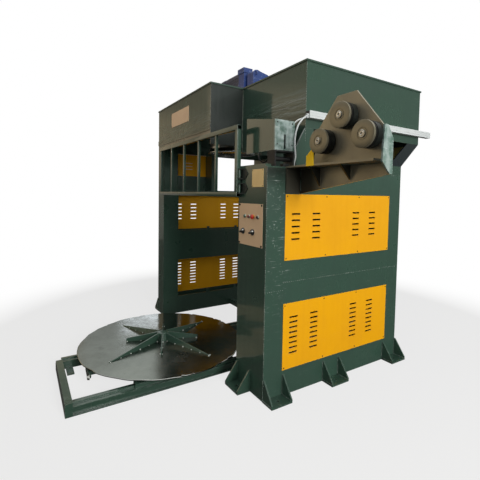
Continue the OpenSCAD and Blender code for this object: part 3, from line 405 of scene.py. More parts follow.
# %% grime
grime, given, gives = shader_group("grime", [("Scale", 2.0), ("Runs", 0.5)], ["Mask"])
where = node(grime, "ShaderNodeTexCoord")
cloud = node(grime, "ShaderNodeTexNoise", Detail=6.0, Roughness=0.6)
wire(grime, where.outputs["Object"], cloud.inputs["Vector"])
wire(grime, given.outputs["Scale"], cloud.inputs["Scale"])
stretch = node(grime, "ShaderNodeMapping")
stretch.inputs["Scale"].default_value = (9, 9, 0.6)
wire(grime, where.outputs["Object"], stretch.inputs["Vector"])
run = node(grime, "ShaderNodeTexNoise", Scale=2.0, Detail=4.0)
wire(grime, stretch.outputs[0], run.inputs["Vector"])
runs = mathed(grime, "MULTIPLY", ramped(grime, run.outputs["Fac"], 0.45, 0.75), given.outputs["Runs"])
cloudy = ramped(grime, cloud.outputs["Fac"], 0.38, 0.72)
wire(grime, mathed(grime, "ADD", cloudy, runs, clamp=True), gives.inputs["Mask"])

# %% scuffs
scuffs, given, gives = shader_group("scuffs", [("Scale", 8.0), ("Amount", 0.5)], ["Mask"])
where = node(scuffs, "ShaderNodeTexCoord")
parts = []
for turn, squeeze in ((0.5, (1, 1, 14)), (-0.7, (1, 1, 18)), (1.3, (1, 1, 10))):
    tilt = node(scuffs, "ShaderNodeMapping")
    tilt.inputs["Rotation"].default_value = (turn, turn * 0.6, 0)
    tilt.inputs["Scale"].default_value = squeeze
    wire(scuffs, where.outputs["Object"], tilt.inputs["Vector"])
    lines = node(scuffs, "ShaderNodeTexNoise", Detail=3.0, Roughness=0.7)
    wire(scuffs, tilt.outputs[0], lines.inputs["Vector"])
    wire(scuffs, given.outputs["Scale"], lines.inputs["Scale"])
    parts.append(ramped(scuffs, lines.outputs["Fac"], 0.66, 0.72))
flecks = node(scuffs, "ShaderNodeTexNoise", Detail=8.0, Roughness=0.75)
wire(scuffs, where.outputs["Object"], flecks.inputs["Vector"])
wire(scuffs, mathed(scuffs, "MULTIPLY", given.outputs["Scale"], 7.0), flecks.inputs["Scale"])
chips = ramped(scuffs, flecks.outputs["Fac"], 0.62, 0.65)
total = mathed(scuffs, "MAXIMUM", mathed(scuffs, "MAXIMUM", parts[0], parts[1]), parts[2])
total = mathed(scuffs, "MAXIMUM", total, chips)
wire(scuffs, mathed(scuffs, "MULTIPLY", total, given.outputs["Amount"], clamp=True), gives.inputs["Mask"])
print("shader groups", [g.name for g in bpy.data.node_groups])


# %% [markdown]
# ## Building a finish
# Each finish is one Principled surface. The groups above decide where the paint is stained,
# scratched or worn to primer, and a pair of colour mixes turn those masks into colours.


# %% finish helpers
def use(tree, group, **values):
    placed = node(tree, "ShaderNodeGroup")
    placed.node_tree = group
    for name, value in values.items():
        placed.inputs[name].default_value = value
    return placed


def new_finish(name, roughness=0.4, metallic=0.0, coat=0.0, coat_roughness=0.1, ior=1.5):
    made = bpy.data.materials.new(name)
    made.use_nodes = True
    shader = made.node_tree.nodes["Principled BSDF"]
    shader.inputs["Roughness"].default_value = roughness
    shader.inputs["Metallic"].default_value = metallic
    shader.inputs["Coat Weight"].default_value = coat
    shader.inputs["Coat Roughness"].default_value = coat_roughness
    shader.inputs["IOR"].default_value = ior
    return made, made.node_tree, shader


def bumped(tree, shader, height, strength=1.0, distance=1.0):
    bump = node(tree, "ShaderNodeBump", Strength=strength, Distance=distance)
    wire(tree, height, bump.inputs["Height"])
    wire(tree, bump.outputs["Normal"], shader.inputs["Normal"])


def painted(name, colour, shade, primer=(0.25, 0.27, 0.25), gloss=0.25, wear=0.8, wear_width=0.004,
            scratches=0.25, scratch_scale=5.0, coat=1.0, peel=1.0, waves=0.6, stain=2.0, runs=0.4,
            scratch_zone=None, ior=1.5):
    """Gloss paint on plate: two tones of colour, scratches, and edges worn to primer."""
    made, tree, shader = new_finish(name, gloss, 0.0, coat, 0.07, ior)
    stains = use(tree, grime, Scale=stain, Runs=runs)
    base = mixed(tree, stains.outputs[0], colour, shade)
    scratched = use(tree, scuffs, Scale=scratch_scale, Amount=scratches)
    scratch_mask = scratched.outputs[0]
    if scratch_zone:
        scratch_mask = mathed(tree, "MULTIPLY", scratch_mask, scratch_zone(tree))
    base = mixed(tree, scratch_mask, base, tuple(min(1, c * 1.5 + 0.03) for c in primer))
    edges = use(tree, edge_wear, Width=wear_width, Amount=wear, Scale=24.0)
    base = mixed(tree, edges.outputs[0], base, primer)
    wire(tree, base, shader.inputs["Base Color"])
    rough = node(tree, "ShaderNodeMapRange")
    rough.inputs["To Min"].default_value = gloss
    rough.inputs["To Max"].default_value = min(1, gloss + 0.22)
    wire(tree, mathed(tree, "MAXIMUM", stains.outputs[0], scratch_mask), rough.inputs["Value"])
    wire(tree, rough.outputs["Result"], shader.inputs["Roughness"])
    skin = use(tree, sheet_waves, Peel=peel, Waves=waves)
    height = mathed(tree, "SUBTRACT", skin.outputs[0], mathed(tree, "MULTIPLY", edges.outputs[0], 0.0004))
    bumped(tree, shader, height)
    return made


def metal(name, colour, shade, roughness=0.35, wear=0.5, peel=1.0, stain=6.0, metallic=0.9, wear_width=0.002,
          edge=None, waves=0.0, scratches=0.0, scratch_scale=6.0):
    """Turned or rolled steel: two tones, brighter edges, and scratches where they are asked for."""
    made, tree, shader = new_finish(name, roughness, metallic)
    stains = use(tree, grime, Scale=stain, Runs=0.2)
    base = mixed(tree, stains.outputs[0], colour, shade)
    if scratches:
        scratched = use(tree, scuffs, Scale=scratch_scale, Amount=scratches)
        base = mixed(tree, scratched.outputs[0], base, tuple(c * 0.35 for c in shade))
    edges = use(tree, edge_wear, Width=wear_width, Amount=wear, Scale=60.0)
    base = mixed(tree, edges.outputs[0], base, edge or tuple(min(1, c * 1.6 + 0.1) for c in colour))
    wire(tree, base, shader.inputs["Base Color"])
    rough = node(tree, "ShaderNodeMapRange")
    rough.inputs["To Min"].default_value = roughness
    rough.inputs["To Max"].default_value = min(1, roughness + 0.2)
    wire(tree, stains.outputs[0], rough.inputs["Value"])
    wire(tree, rough.outputs["Result"], shader.inputs["Roughness"])
    skin = use(tree, sheet_waves, Peel=peel, Waves=waves)
    bumped(tree, shader, skin.outputs[0])
    return made


print("finish helpers ready")


# %% [markdown]
# ## Paints and metals of the machine
# The portal is dark green gloss paint, its louvred panels are amber, and the arm's plates
# have an olive coat gone dull. Each finish is one call with two tones, a gloss and how much
# it is worn. The column is knocked most at its front, so its scratches have a zone of their
# own. One function for paint and one for metal keep all of them alike.


# %% where the column is scratched
def column_zone(tree):
    """1 on the front strip of the right side plate, most of it between knee and shelf height."""
    axes = object_axes(tree)
    front = ramped(tree, axes["Y"], -0.56, -0.66)
    high = ramped(tree, axes["Z"], 0.5, 1.45)
    return mathed(tree, "ADD", mathed(tree, "MULTIPLY", front, high), 0.06)


print("column zone ready")

# %% table of finishes
GREEN = (0.034, 0.074, 0.050)
GREEN_SHADE = (0.026, 0.060, 0.042)
finishes = {
    "green_paint": painted("green_gloss", GREEN, GREEN_SHADE, primer=(0.30, 0.33, 0.30), scratches=0.06),
    "column_paint": painted("green_knocked_about", (0.040, 0.086, 0.060), (0.032, 0.070, 0.050),
                            primer=(0.42, 0.47, 0.43),
                            scratches=0.9, scratch_scale=6.0, scratch_zone=column_zone, wear=1.0),
    "olive_plate": metal("olive_plate", (0.34, 0.305, 0.215), (0.28, 0.25, 0.18), 0.30, metallic=0.6, wear=1.0,
                         wear_width=0.003, edge=(0.75, 0.76, 0.70), stain=3.0, waves=0.3),
    "yellow_paint": painted("amber_gloss", (0.86, 0.40, 0.001), (0.80, 0.36, 0.001), primer=(0.62, 0.50, 0.25),
                            gloss=0.45, wear=0.8, wear_width=0.003, scratches=0.02, coat=0.0, waves=0.5,
                            ior=1.3),
    "pale_green_paint": painted("chalky_green", (0.085, 0.16, 0.125), (0.30, 0.375, 0.345),
                                primer=(0.46, 0.50, 0.47),
                                gloss=0.40, wear=1.0, scratches=0.8, scratch_scale=9.0, coat=0.2, stain=26.0,
                                runs=0.8),
    "blue_paint": painted("motor_blue", (0.030, 0.070, 0.26), (0.022, 0.045, 0.17), primer=(0.45, 0.52, 0.62),
                          wear=0.8, coat=0.5),
    # Painted shade: the motor's violet is a darker, greyer copy of the drive's blue, as the blue looks in shade.
    "motor_shaded_blue": painted("motor_shaded_blue", (0.070, 0.070, 0.125), (0.055, 0.058, 0.095),
                            primer=(0.25, 0.27, 0.35), wear=0.5, coat=0.3),
    "dark_steel": metal("oiled_steel", (0.045, 0.045, 0.045), (0.03, 0.03, 0.03), 0.35, metallic=0.6),
    "screw_dark": metal("dark_screw", (0.030, 0.026, 0.020), (0.02, 0.018, 0.014), 0.4, metallic=0.5),
    "bare_steel": metal("turned_steel", (0.16, 0.15, 0.12), (0.10, 0.095, 0.08), 0.32),
    "polished_bolt": metal("polished_bolt", (0.55, 0.55, 0.52), (0.35, 0.34, 0.31), 0.18, metallic=1.0),
    "table_steel": metal("table_steel", (0.37, 0.38, 0.36), (0.27, 0.285, 0.265), 0.09, metallic=1.0, wear=0.8,
                         wear_width=0.004,
                         edge=(0.50, 0.52, 0.48), stain=2.2, waves=0.35, scratches=0.30, scratch_scale=4.0),
    "drum_steel": metal("polished_steel", (0.55, 0.55, 0.56), (0.35, 0.35, 0.36), 0.16, metallic=1.0),
    "weld_flecks": metal("weld_flecks", (0.55, 0.58, 0.54), (0.35, 0.38, 0.34), 0.4, metallic=0.3),
    "seam_filler": metal("seam_filler", (0.22, 0.24, 0.20), (0.07, 0.10, 0.075), 0.4, metallic=0.0, stain=30.0),
    "white_plastic": painted("white_trunking", (0.66, 0.69, 0.68), (0.56, 0.58, 0.58), primer=(0.5, 0.5, 0.5),
                             gloss=0.4, wear=0.2, scratches=0.05, coat=0.0, waves=0.0),
    "black_knob": painted("black_knob", (0.014, 0.014, 0.014), (0.02, 0.02, 0.02), primer=(0.05, 0.05, 0.05),
                          gloss=0.25, wear=0.2, scratches=0.05, coat=0.4, waves=0.0),
    "pale_pointer": painted("pale_pointer", (0.70, 0.72, 0.70), (0.6, 0.62, 0.6), gloss=0.4, wear=0.1,
                            scratches=0.05, coat=0.2, waves=0.0),
    "bright_bezel": metal("bright_bezel", (0.55, 0.60, 0.56), (0.42, 0.46, 0.43), 0.22, metallic=1.0),
    "green_button": painted("green_button", (0.07, 0.17, 0.12), (0.05, 0.13, 0.09), gloss=0.3, wear=0.1,
                            scratches=0.02, waves=0.0),
    "red_button": painted("red_button", (0.30, 0.035, 0.035), (0.24, 0.03, 0.03), gloss=0.3, wear=0.1,
                          scratches=0.02, waves=0.0),
    "yellow_button": painted("yellow_button", (0.80, 0.42, 0.02), (0.7, 0.36, 0.02), gloss=0.35, wear=0.1,
                             scratches=0.02, waves=0.0),
    "red_mushroom": painted("red_mushroom", (0.62, 0.03, 0.02), (0.52, 0.025, 0.015), gloss=0.25, wear=0.1,
                            scratches=0.03, waves=0.0),
    "beige_plate": metal("brushed_plate", (0.86, 0.60, 0.37), (0.78, 0.53, 0.33), 0.42, metallic=0.15,
                         stain=3.0, wear=1.0,
                         wear_width=0.005, edge=(0.62, 0.50, 0.38)),
    "tan_plate": metal("tan_label", (0.95, 0.67, 0.30), (0.86, 0.60, 0.26), 0.5, metallic=0.1, stain=8.0,
                       wear=1.0,
                       wear_width=0.006, edge=(0.75, 0.56, 0.28)),
    "cream_plate": metal("cream_plate", (0.90, 0.64, 0.41), (0.82, 0.57, 0.37), 0.45, metallic=0.1, stain=4.0,
                         wear=1.0,
                         wear_width=0.006, edge=(0.66, 0.50, 0.34)),
}
print("even finishes", len(finishes))

# %% [markdown]
# ## Finishes that change over one piece
# Some solids are one piece but don't look alike all over. Their masks are ranges of X, Y or
# Z in the machine's frame, because each change follows a seam or an edge: the die box has a
# chalky end plate on glossy sheets and the hood is buckled along its lower edge. Painted shade
# darkens the hood's notch side, the rollers' grooves and bodies, the arm's gussets and the part
# nearest the column, and a brown band low on the hood's front is a painted reflection.


# %% finish of the die box
def die_box_paint():
    """The end plate of the die box is chalky and worn, and the sheets behind it are gloss green."""
    made, tree, shader = new_finish("die_box_paint", 0.25, 0.0, 1.0, 0.07)
    axes = object_axes(tree)
    on_plate = ramped(tree, axes["X"], 1.2130, 1.2142)
    stains = use(tree, grime, Scale=15.0, Runs=0.8)
    chalky = mixed(tree, stains.outputs[0], (0.060, 0.125, 0.095), (0.46, 0.55, 0.53))
    scratched = use(tree, scuffs, Scale=9.0, Amount=0.8)
    chalky = mixed(tree, scratched.outputs[0], chalky, (0.62, 0.68, 0.64))
    faint = use(tree, grime, Scale=2.0, Runs=0.4)
    gloss = mixed(tree, faint.outputs[0], GREEN, GREEN_SHADE)
    edges = use(tree, edge_wear, Width=0.004, Amount=0.9, Scale=24.0)
    wire(tree, mixed(tree, edges.outputs[0], mixed(tree, on_plate, gloss, chalky), (0.46, 0.50, 0.47)),
         shader.inputs["Base Color"])
    rough = node(tree, "ShaderNodeMapRange")
    rough.inputs["To Min"].default_value = 0.22
    rough.inputs["To Max"].default_value = 0.55
    wire(tree, on_plate, rough.inputs["Value"])
    wire(tree, rough.outputs["Result"], shader.inputs["Roughness"])
    skin = use(tree, sheet_waves, Peel=1.0, Waves=0.4)
    bumped(tree, shader, skin.outputs[0])
    return made


finishes["die_box"] = die_box_paint()
print("die box painted")


# %% finish of the hood
def hood_paint():
    """Gloss green over sheet buckled along its lower edge, so mirror images waver there, with painted shade on the
    notch side and a painted reflection low on the front.
    """
    made = painted("hood_paint", GREEN, GREEN_SHADE, primer=(0.30, 0.33, 0.30), scratches=0.05)
    tree = made.node_tree
    shader = tree.nodes["Principled BSDF"]
    flat = shader.inputs["Normal"].links[0].from_socket
    axes = object_axes(tree)
    low_edge = mathed(tree, "MULTIPLY", ramped(tree, axes["Z"], 2.46, 2.36),
                      ramped(tree, axes["Z"], 2.20, 2.26))
    stretch = node(tree, "ShaderNodeMapping")
    stretch.inputs["Scale"].default_value = (2.2, 2.2, 15.0)
    stretch.inputs["Rotation"].default_value = (0.0, 0.12, 0.0)
    wire(tree, node(tree, "ShaderNodeTexCoord").outputs["Object"], stretch.inputs["Vector"])
    buckle = node(tree, "ShaderNodeTexNoise", Scale=1.6, Detail=3.0, Roughness=0.6, Distortion=0.8)
    wire(tree, stretch.outputs[0], buckle.inputs["Vector"])
    bump = node(tree, "ShaderNodeBump", Strength=1.0, Distance=1.0)
    front_only = mathed(tree, "LESS_THAN", axes["X"], 1.2245)
    off_notch = mathed(tree, "GREATER_THAN", mathed(tree, "ABSOLUTE",
                                                    mathed(tree, "SUBTRACT", axes["X"], 0.283)), 0.004)
    low_edge = mathed(tree, "MULTIPLY", low_edge, mathed(tree, "MULTIPLY", front_only, off_notch))
    green = shader.inputs["Base Color"].links[0].from_socket
    # Painted shade: the side of the notch is coloured nearly black.
    green = mixed(tree, off_notch, (0.010, 0.016, 0.013), green)
    # Painted reflection: a brown band along the lower edge of the front lightens the dark mirror image there.
    low_front_band = mathed(tree, "MULTIPLY", ramped(tree, axes["Z"], 2.245, 2.205),
                   mathed(tree, "LESS_THAN", axes["Y"], -0.8145))
    wire(tree, mixed(tree, low_front_band, green, (0.20, 0.165, 0.11)), shader.inputs["Base Color"])
    wire(tree, mathed(tree, "MULTIPLY", mathed(tree, "MULTIPLY", buckle.outputs["Fac"], low_edge), 0.020),
         bump.inputs["Height"])
    wire(tree, flat, bump.inputs["Normal"])
    wire(tree, bump.outputs["Normal"], shader.inputs["Normal"])
    return made


finishes["hood_paint"] = hood_paint()
print("hood painted")


# %% finishes of the rollers and the arm
def roller_paint(front):
    """Turned steel: a dull flat face, then grooves and a body painted nearly black as shade."""
    made, tree, shader = new_finish("roller_face", 0.30, 0.6)
    axes = object_axes(tree)
    deep = ramped(tree, axes["Y"], front + 0.014, front + 0.0185)
    body = ramped(tree, axes["Y"], front + 0.035, front + 0.042)
    stains = use(tree, grime, Scale=8.0, Runs=0.2)
    face = mixed(tree, stains.outputs[0], (0.25, 0.225, 0.155), (0.21, 0.19, 0.135))
    # Painted shade: the grooves are dark and the wide body behind the face is nearly black.
    wire(tree, mixed(tree, body, mixed(tree, deep, face, (0.05, 0.05, 0.046)), (0.016, 0.020, 0.017)),
         shader.inputs["Base Color"])
    rough = node(tree, "ShaderNodeMapRange")
    rough.inputs["To Min"].default_value = 0.30
    rough.inputs["To Max"].default_value = 0.42
    wire(tree, body, rough.inputs["Value"])
    wire(tree, rough.outputs["Result"], shader.inputs["Roughness"])
    return made


def arm_paint():
    """Olive paint with painted shade: the gussets, the part nearest the column and the far end are nearly black."""
    made = metal("arm_paint", (0.34, 0.305, 0.215), (0.28, 0.25, 0.18), 0.30, metallic=0.6, wear=1.0,
                 wear_width=0.003,
                 edge=(0.62, 0.60, 0.50), stain=3.0, waves=0.3)
    tree = made.node_tree
    shader = tree.nodes["Principled BSDF"]
    olive = shader.inputs["Base Color"].links[0].from_socket
    axes = object_axes(tree)
    masks = [mathed(tree, "LESS_THAN", mathed(tree, "ABSOLUTE", mathed(tree, "SUBTRACT", axes["X"], x)),
                    0.0068) for x in (1.452, 1.732)]
    proud = mathed(tree, "LESS_THAN", axes["Y"], -0.502)
    under = mathed(tree, "LESS_THAN", axes["Z"], 1.8095)
    gusset = mathed(tree, "MULTIPLY", mathed(tree, "MULTIPLY", mathed(tree, "MAXIMUM", masks[0], masks[1]),
                                             proud), under)
    near_column = mathed(tree, "MULTIPLY", ramped(tree, axes["X"], 1.50, 1.36),
                         mathed(tree, "LESS_THAN", axes["Z"], 1.812))
    # Painted shade: the gussets, the web nearest the column and the far end go nearly black.
    dark = mathed(tree, "MAXIMUM", gusset, mathed(tree, "MULTIPLY", near_column, 0.85))
    dark = mathed(tree, "MAXIMUM", dark, ramped(tree, axes["X"], 2.022, 2.0255))
    wire(tree, mixed(tree, dark, olive, (0.030, 0.030, 0.022)), shader.inputs["Base Color"])
    return made


finishes["roller_steel"] = roller_paint(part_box("roller_1")[0][1])
finishes["arm_paint"] = arm_paint()
print("rollers and arm finished")


# %% finishes of the column's top and the braces
def shade_column_top(made):
    """The top of the column's side lies in the shade of the die box, and that shade is painted in nearly black."""
    tree = made.node_tree
    skin = tree.nodes["Principled BSDF"].inputs["Base Color"]
    axes = object_axes(tree)
    die_box_shade = mathed(tree, "MULTIPLY", ramped(tree, axes["Z"], 1.66, 1.78), ramped(tree, axes["Y"], -0.40, -0.50))
    wire(tree, mixed(tree, mathed(tree, "MULTIPLY", die_box_shade, 0.8), skin.links[0].from_socket,
                     (0.012, 0.015, 0.012)), skin)


def brace_gold_paint():
    """Gold on the faces that look to the front, and the machine's green on the others."""
    made = painted("brace_gold", (1.0, 0.78, 0.25), (0.75, 0.55, 0.18), wear=0.2, scratches=0.0, coat=0.3)
    tree = made.node_tree
    skin = tree.nodes["Principled BSDF"].inputs["Base Color"]
    facing = node(tree, "ShaderNodeSeparateXYZ")
    wire(tree, node(tree, "ShaderNodeNewGeometry").outputs["True Normal"], facing.inputs[0])
    to_front = mathed(tree, "LESS_THAN", facing.outputs["Y"], 0.0)
    wire(tree, mixed(tree, to_front, GREEN, skin.links[0].from_socket), skin)
    return made


def brace_paint():
    """Green, and nearly black on the upper part of the rear brace, which lies in deep shade."""
    made = painted("brace_paint", GREEN, GREEN_SHADE, wear=0.5, scratches=0.03)
    tree = made.node_tree
    skin = tree.nodes["Principled BSDF"].inputs["Base Color"]
    axes = object_axes(tree)
    at_rear = ramped(tree, axes["Y"], 0.40, 0.41)
    rear_part = mathed(tree, "MULTIPLY", at_rear, ramped(tree, axes["Z"], 1.900, 1.904))
    wire(tree, mixed(tree, rear_part, skin.links[0].from_socket, (0.006, 0.008, 0.013)), skin)
    return made


shade_column_top(finishes["column_paint"])
finishes["brace_gold"] = brace_gold_paint()
finishes["brace_paint"] = brace_paint()
print("braces painted")

# %% finishes of small pieces
# Painted light: a pale colour on the lips and flange of the left leg's top panel stands for light showing through
# its slots.
finishes["slot_glow"] = painted("painted_slot_light", (1.0, 0.72, 0.52), (0.9, 0.6, 0.42), wear=0.2, scratches=0.0,
                                coat=0.2)
finishes["tab_yellow"] = metal("tab_yellow", (1.0, 0.68, 0.02), (0.98, 0.62, 0.015), 0.4, metallic=0.5,
                               wear=0.6, edge=(1.0, 0.8, 0.3), stain=8.0)
finishes["hood_top"] = painted("hood_top", GREEN, GREEN_SHADE, scratches=0.03, wear=0.0)
finishes["hinge_paint"] = painted("hinge_paint", (0.018, 0.026, 0.020), (0.012, 0.016, 0.012),
                                  primer=(0.06, 0.065, 0.06), gloss=0.5, wear=0.4, coat=0.1)
finishes["black_plastic"] = finishes["black_knob"]
finishes["red_plastic"] = finishes["red_mushroom"]
print("finishes", len(finishes))

# %% [markdown]
# ## Turned pieces, bars and folded sheet
# Rollers, the drum, knobs and buttons are round, so each is a half section swept about an
# axis. One helper makes them all: it takes radius and height pairs, closes the ends on the
# axis or round a bore, and can give chosen rings six flats, as in a hexagon socket. A second
# makes a bar with rounded edges, and a third a prism between two equal outlines.


# %% helpers for pieces
def add_piece(name, mesh, finish, body, stands_for=(), sharp=35):
    """Links a finished mesh as a piece: shaded smooth up to the sharp angle, with its finish."""
    mesh.materials.clear()
    mesh.materials.append(finish)
    mesh.shade_smooth()
    mesh.set_sharp_from_angle(angle=math.radians(sharp))
    made = bpy.data.objects.new(name, mesh)
    bpy.context.scene.collection.objects.link(made)
    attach(made, body)
    if stands_for:
        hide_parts(*stands_for)
    return made


def turned_mesh(build, profile, place, steps=64, bored=False, hexed=()):
    """Sweeps (radius, height) pairs about local Z into a bmesh, then moves them by place."""
    rings = []
    for index, (r, h) in enumerate(profile):
        if r < 1e-6:
            rings.append([build.verts.new(place @ Vector((0, 0, h)))])
            continue
        ring_verts = []
        for k in range(steps):
            a = 2 * math.pi * k / steps
            reach = r
            if index in hexed:
                reach = r * math.cos(math.pi / 6) / math.cos(a % (math.pi / 3) - math.pi / 6)
            ring_verts.append(build.verts.new(place @ Vector((reach * math.cos(a), reach * math.sin(a), h))))
        rings.append(ring_verts)
    pairs = list(zip(rings, rings[1:] + rings[:1] if bored else rings[1:]))
    for low_ring, high_ring in pairs:
        for k in range(steps):
            j = (k + 1) % steps
            corners = [low_ring[k % len(low_ring)], low_ring[j % len(low_ring)], high_ring[j % len(high_ring)],
                       high_ring[k % len(high_ring)]]
            corners = list(dict.fromkeys(corners))
            if len(corners) > 2:
                build.faces.new(corners)


def bmesh_to(name, build):
    bmesh.ops.recalc_face_normals(build, faces=build.faces)
    mesh = bpy.data.meshes.new(name)
    build.to_mesh(mesh)
    build.free()
    return mesh


def prism(build, ends):
    """A solid between two outlines of as many points each, added to a bmesh."""
    first, second = [[build.verts.new(point) for point in outline] for outline in ends]
    build.faces.new(first)
    build.faces.new(second)
    for k in range(len(first)):
        j = (k + 1) % len(first)
        build.faces.new((first[k], first[j], second[j], second[k]))


UNMOVED = Matrix()
FRONTWARD = Matrix.Rotation(math.radians(90), 4, "X")   # local Z points to -Y
BACKWARD = Matrix.Rotation(math.radians(-90), 4, "X")   # local Z points to +Y


def bar(build, low, high, place=UNMOVED, bevel=0.0015):
    """A box with rounded edges, added to a bmesh; its own corners are moved by place."""
    low, high = Vector(low), Vector(high)
    made = bmesh.ops.create_cube(build, size=1)["verts"]
    for v in made:
        v.co = Vector(low[i] + (v.co[i] + 0.5) * (high[i] - low[i]) for i in range(3))
    edges = {e for v in made for e in v.link_edges}
    if bevel:
        grown = bmesh.ops.bevel(build, geom=list(edges), offset=bevel, segments=2, affect="EDGES", profile=0.6)
        made = list({v for f in grown["faces"] for v in f.verts} | {v for v in made if v.is_valid})
    for v in made:
        v.co = place @ v.co


print("turned pieces ready")

# %% [markdown]
# ## Guide rollers
# Each roller is a steel wheel: a flat front flange with a fine ring cut into its face, two
# narrow grooves for the wire, and a wide body. The grooves and the body carry painted shade,
# nearly black, so the lit face stands out and the wheels read as turned steel. The end of
# each axle is a washer with a socket screw, which stays still when the roller turns.

# %% rollers and axle ends
for i in (1, 2, 3):
    near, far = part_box("roller_%d" % i)
    middle = (Vector(near) + Vector(far)) / 2
    R = (far[0] - near[0]) / 2
    W = far[1] - near[1]
    build = bmesh.new()
    turned_mesh(build, [
        (0.0155, 0.0005), (0.0335, 0.0005), (0.0345, 0.0028), (0.0375, 0.0028), (0.0385, 0.0),
        (R - 0.0022, 0.0),
        (R - 0.0005, 0.0006), (R, 0.0022), (R, 0.016), (R - 0.0015, 0.0185), (R - 0.013, 0.022),
        (R - 0.013, 0.0245),
        (R - 0.002, 0.028), (R - 0.002, 0.0305), (R - 0.013, 0.034), (R - 0.013, 0.0365), (R - 0.001, 0.040),
        (R - 0.001, W - 0.004), (R - 0.005, W), (0.0155, W)],
        Matrix.Translation((middle.x, near[1], middle.z)) @ BACKWARD, 96, bored=True)
    add_piece("roller_wheel_%d" % i, bmesh_to("roller_wheel_%d" % i, build), finishes["roller_steel"],
              "roller_%d" % i,
              ("roller_%d" % i,))
build = bmesh.new()
near_axle, far_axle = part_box("roller_axles")
for i in (1, 2, 3):
    near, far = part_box("roller_%d" % i)
    middle = (Vector(near) + Vector(far)) / 2
    L = far_axle[1] - near_axle[1]
    back = far[1] - near_axle[1]
    turned_mesh(build, [
        (0, 0.0065), (0.0085, 0.0065), (0.0085, 0.0012), (0.0098, 0.0002), (0.0125, 0.0), (0.014, 0.0018),
        (0.0165, 0.0022),
        (0.0205, 0.0012), (0.0228, 0.0025), (0.0236, 0.008), (0.015, 0.008), (0.015, back + 0.0003),
        (0.028, back + 0.0003), (0.028, back + 0.0097), (0.015, back + 0.0097), (0.015, L), (0, L)],
        Matrix.Translation((middle.x, near_axle[1], middle.z)) @ BACKWARD, 48, hexed=(1, 2, 3))
add_piece("roller_axle_ends", bmesh_to("roller_axle_ends", build), finishes["polished_bolt"], "stand",
          ("roller_axles",))
print("rollers", round(R, 3), round(W, 3))

# %% [markdown]
# ## Wire drum
# Only the drum's lower rim shows behind the gate, with a bright glint. Wire has polished fine
# rings into its wall, so the section has shallow waves there instead of a plain cylinder.

# %% drum
near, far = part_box("drum")
build = bmesh.new()
DRUM_LOW = near[2]
wall = []
for k in range(25):
    wall.append((0.2485 + 0.0012 * (k % 2), DRUM_LOW + 0.040 + 0.0115 * k))
turned_mesh(build, [
    (0, DRUM_LOW + 0.060), (0.085, DRUM_LOW + 0.060), (0.232, DRUM_LOW + 0.020), (0.232, DRUM_LOW),
    (0.260, DRUM_LOW), (0.2635, DRUM_LOW + 0.004), (0.2635, DRUM_LOW + 0.012), (0.260, DRUM_LOW + 0.017),
    (0.2515, DRUM_LOW + 0.034)] + wall + [
    (0.249, DRUM_LOW + 0.328), (0.232, DRUM_LOW + 0.330), (0.232, DRUM_LOW + 0.050), (0.085, DRUM_LOW + 0.090),
    (0.075, far[2] - 0.2423), (0.045, far[2] - 0.2423), (0.045, far[2]), (0, far[2])],
    Matrix.Translation(((near[0] + far[0]) / 2, (near[1] + far[1]) / 2, 0)), 96)
add_piece("wire_drum", bmesh_to("wire_drum", build), finishes["drum_steel"], "drum", ("drum",))
print("drum low", round(DRUM_LOW, 3), "high", round(far[2], 3))

# %% [markdown]
# ## Control plate fittings
# Four lamps and buttons sit in one row: a green and a red one with metal bezels, a red
# mushroom on a yellow ring, and a dark selector. Below them are two black knobs whose bar
# grips carry a pale pointer. Every knob turns on its own, so each is its own piece.

# %% push buttons
near_buttons, far_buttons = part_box("push_buttons")
button_z = (near_buttons[2] + far_buttons[2]) / 2
plate_y = far_buttons[1]
BUTTON_X = (0.935, 0.992, 1.056, 1.118)
BEZEL = [(0, 0.0001), (0.0165, 0.0001), (0.0168, 0.003), (0.0150, 0.0065), (0.0118, 0.0075), (0.0112, 0.0045),
         (0, 0.0045)]
CAP = [(0, 0.0044), (0.0106, 0.0044), (0.0106, 0.0105), (0.0094, 0.0125), (0.005, 0.0131), (0, 0.0132)]
MUSHROOM = [(0, 0.004), (0.0100, 0.004), (0.0100, 0.0115), (0.0196, 0.0130), (0.0198, 0.0165), (0.0165, 0.0205),
            (0.009, 0.0228), (0, 0.0234)]
DISC_RING = [(0, 0.0001), (0.0168, 0.0001), (0.0168, 0.0035), (0.0160, 0.0042), (0, 0.0042)]
parts = (("button_bezels", [0, 1, 3], BEZEL, "bright_bezel"), ("green_cap", [0], CAP, "green_button"),
         ("red_cap", [1], CAP, "red_button"), ("yellow_ring", [2], DISC_RING, "yellow_button"),
         ("mushroom_button", [2], MUSHROOM, "red_mushroom"), ("dark_cap", [3], CAP, "black_knob"))
for name, which, section, finish in parts:
    build = bmesh.new()
    for k in which:
        turned_mesh(build, section, Matrix.Translation((BUTTON_X[k], plate_y, button_z)) @ FRONTWARD, 40)
    add_piece(name, bmesh_to(name, build), finishes[finish], "stand", ("push_buttons",))
print("buttons at height", round(button_z, 3))

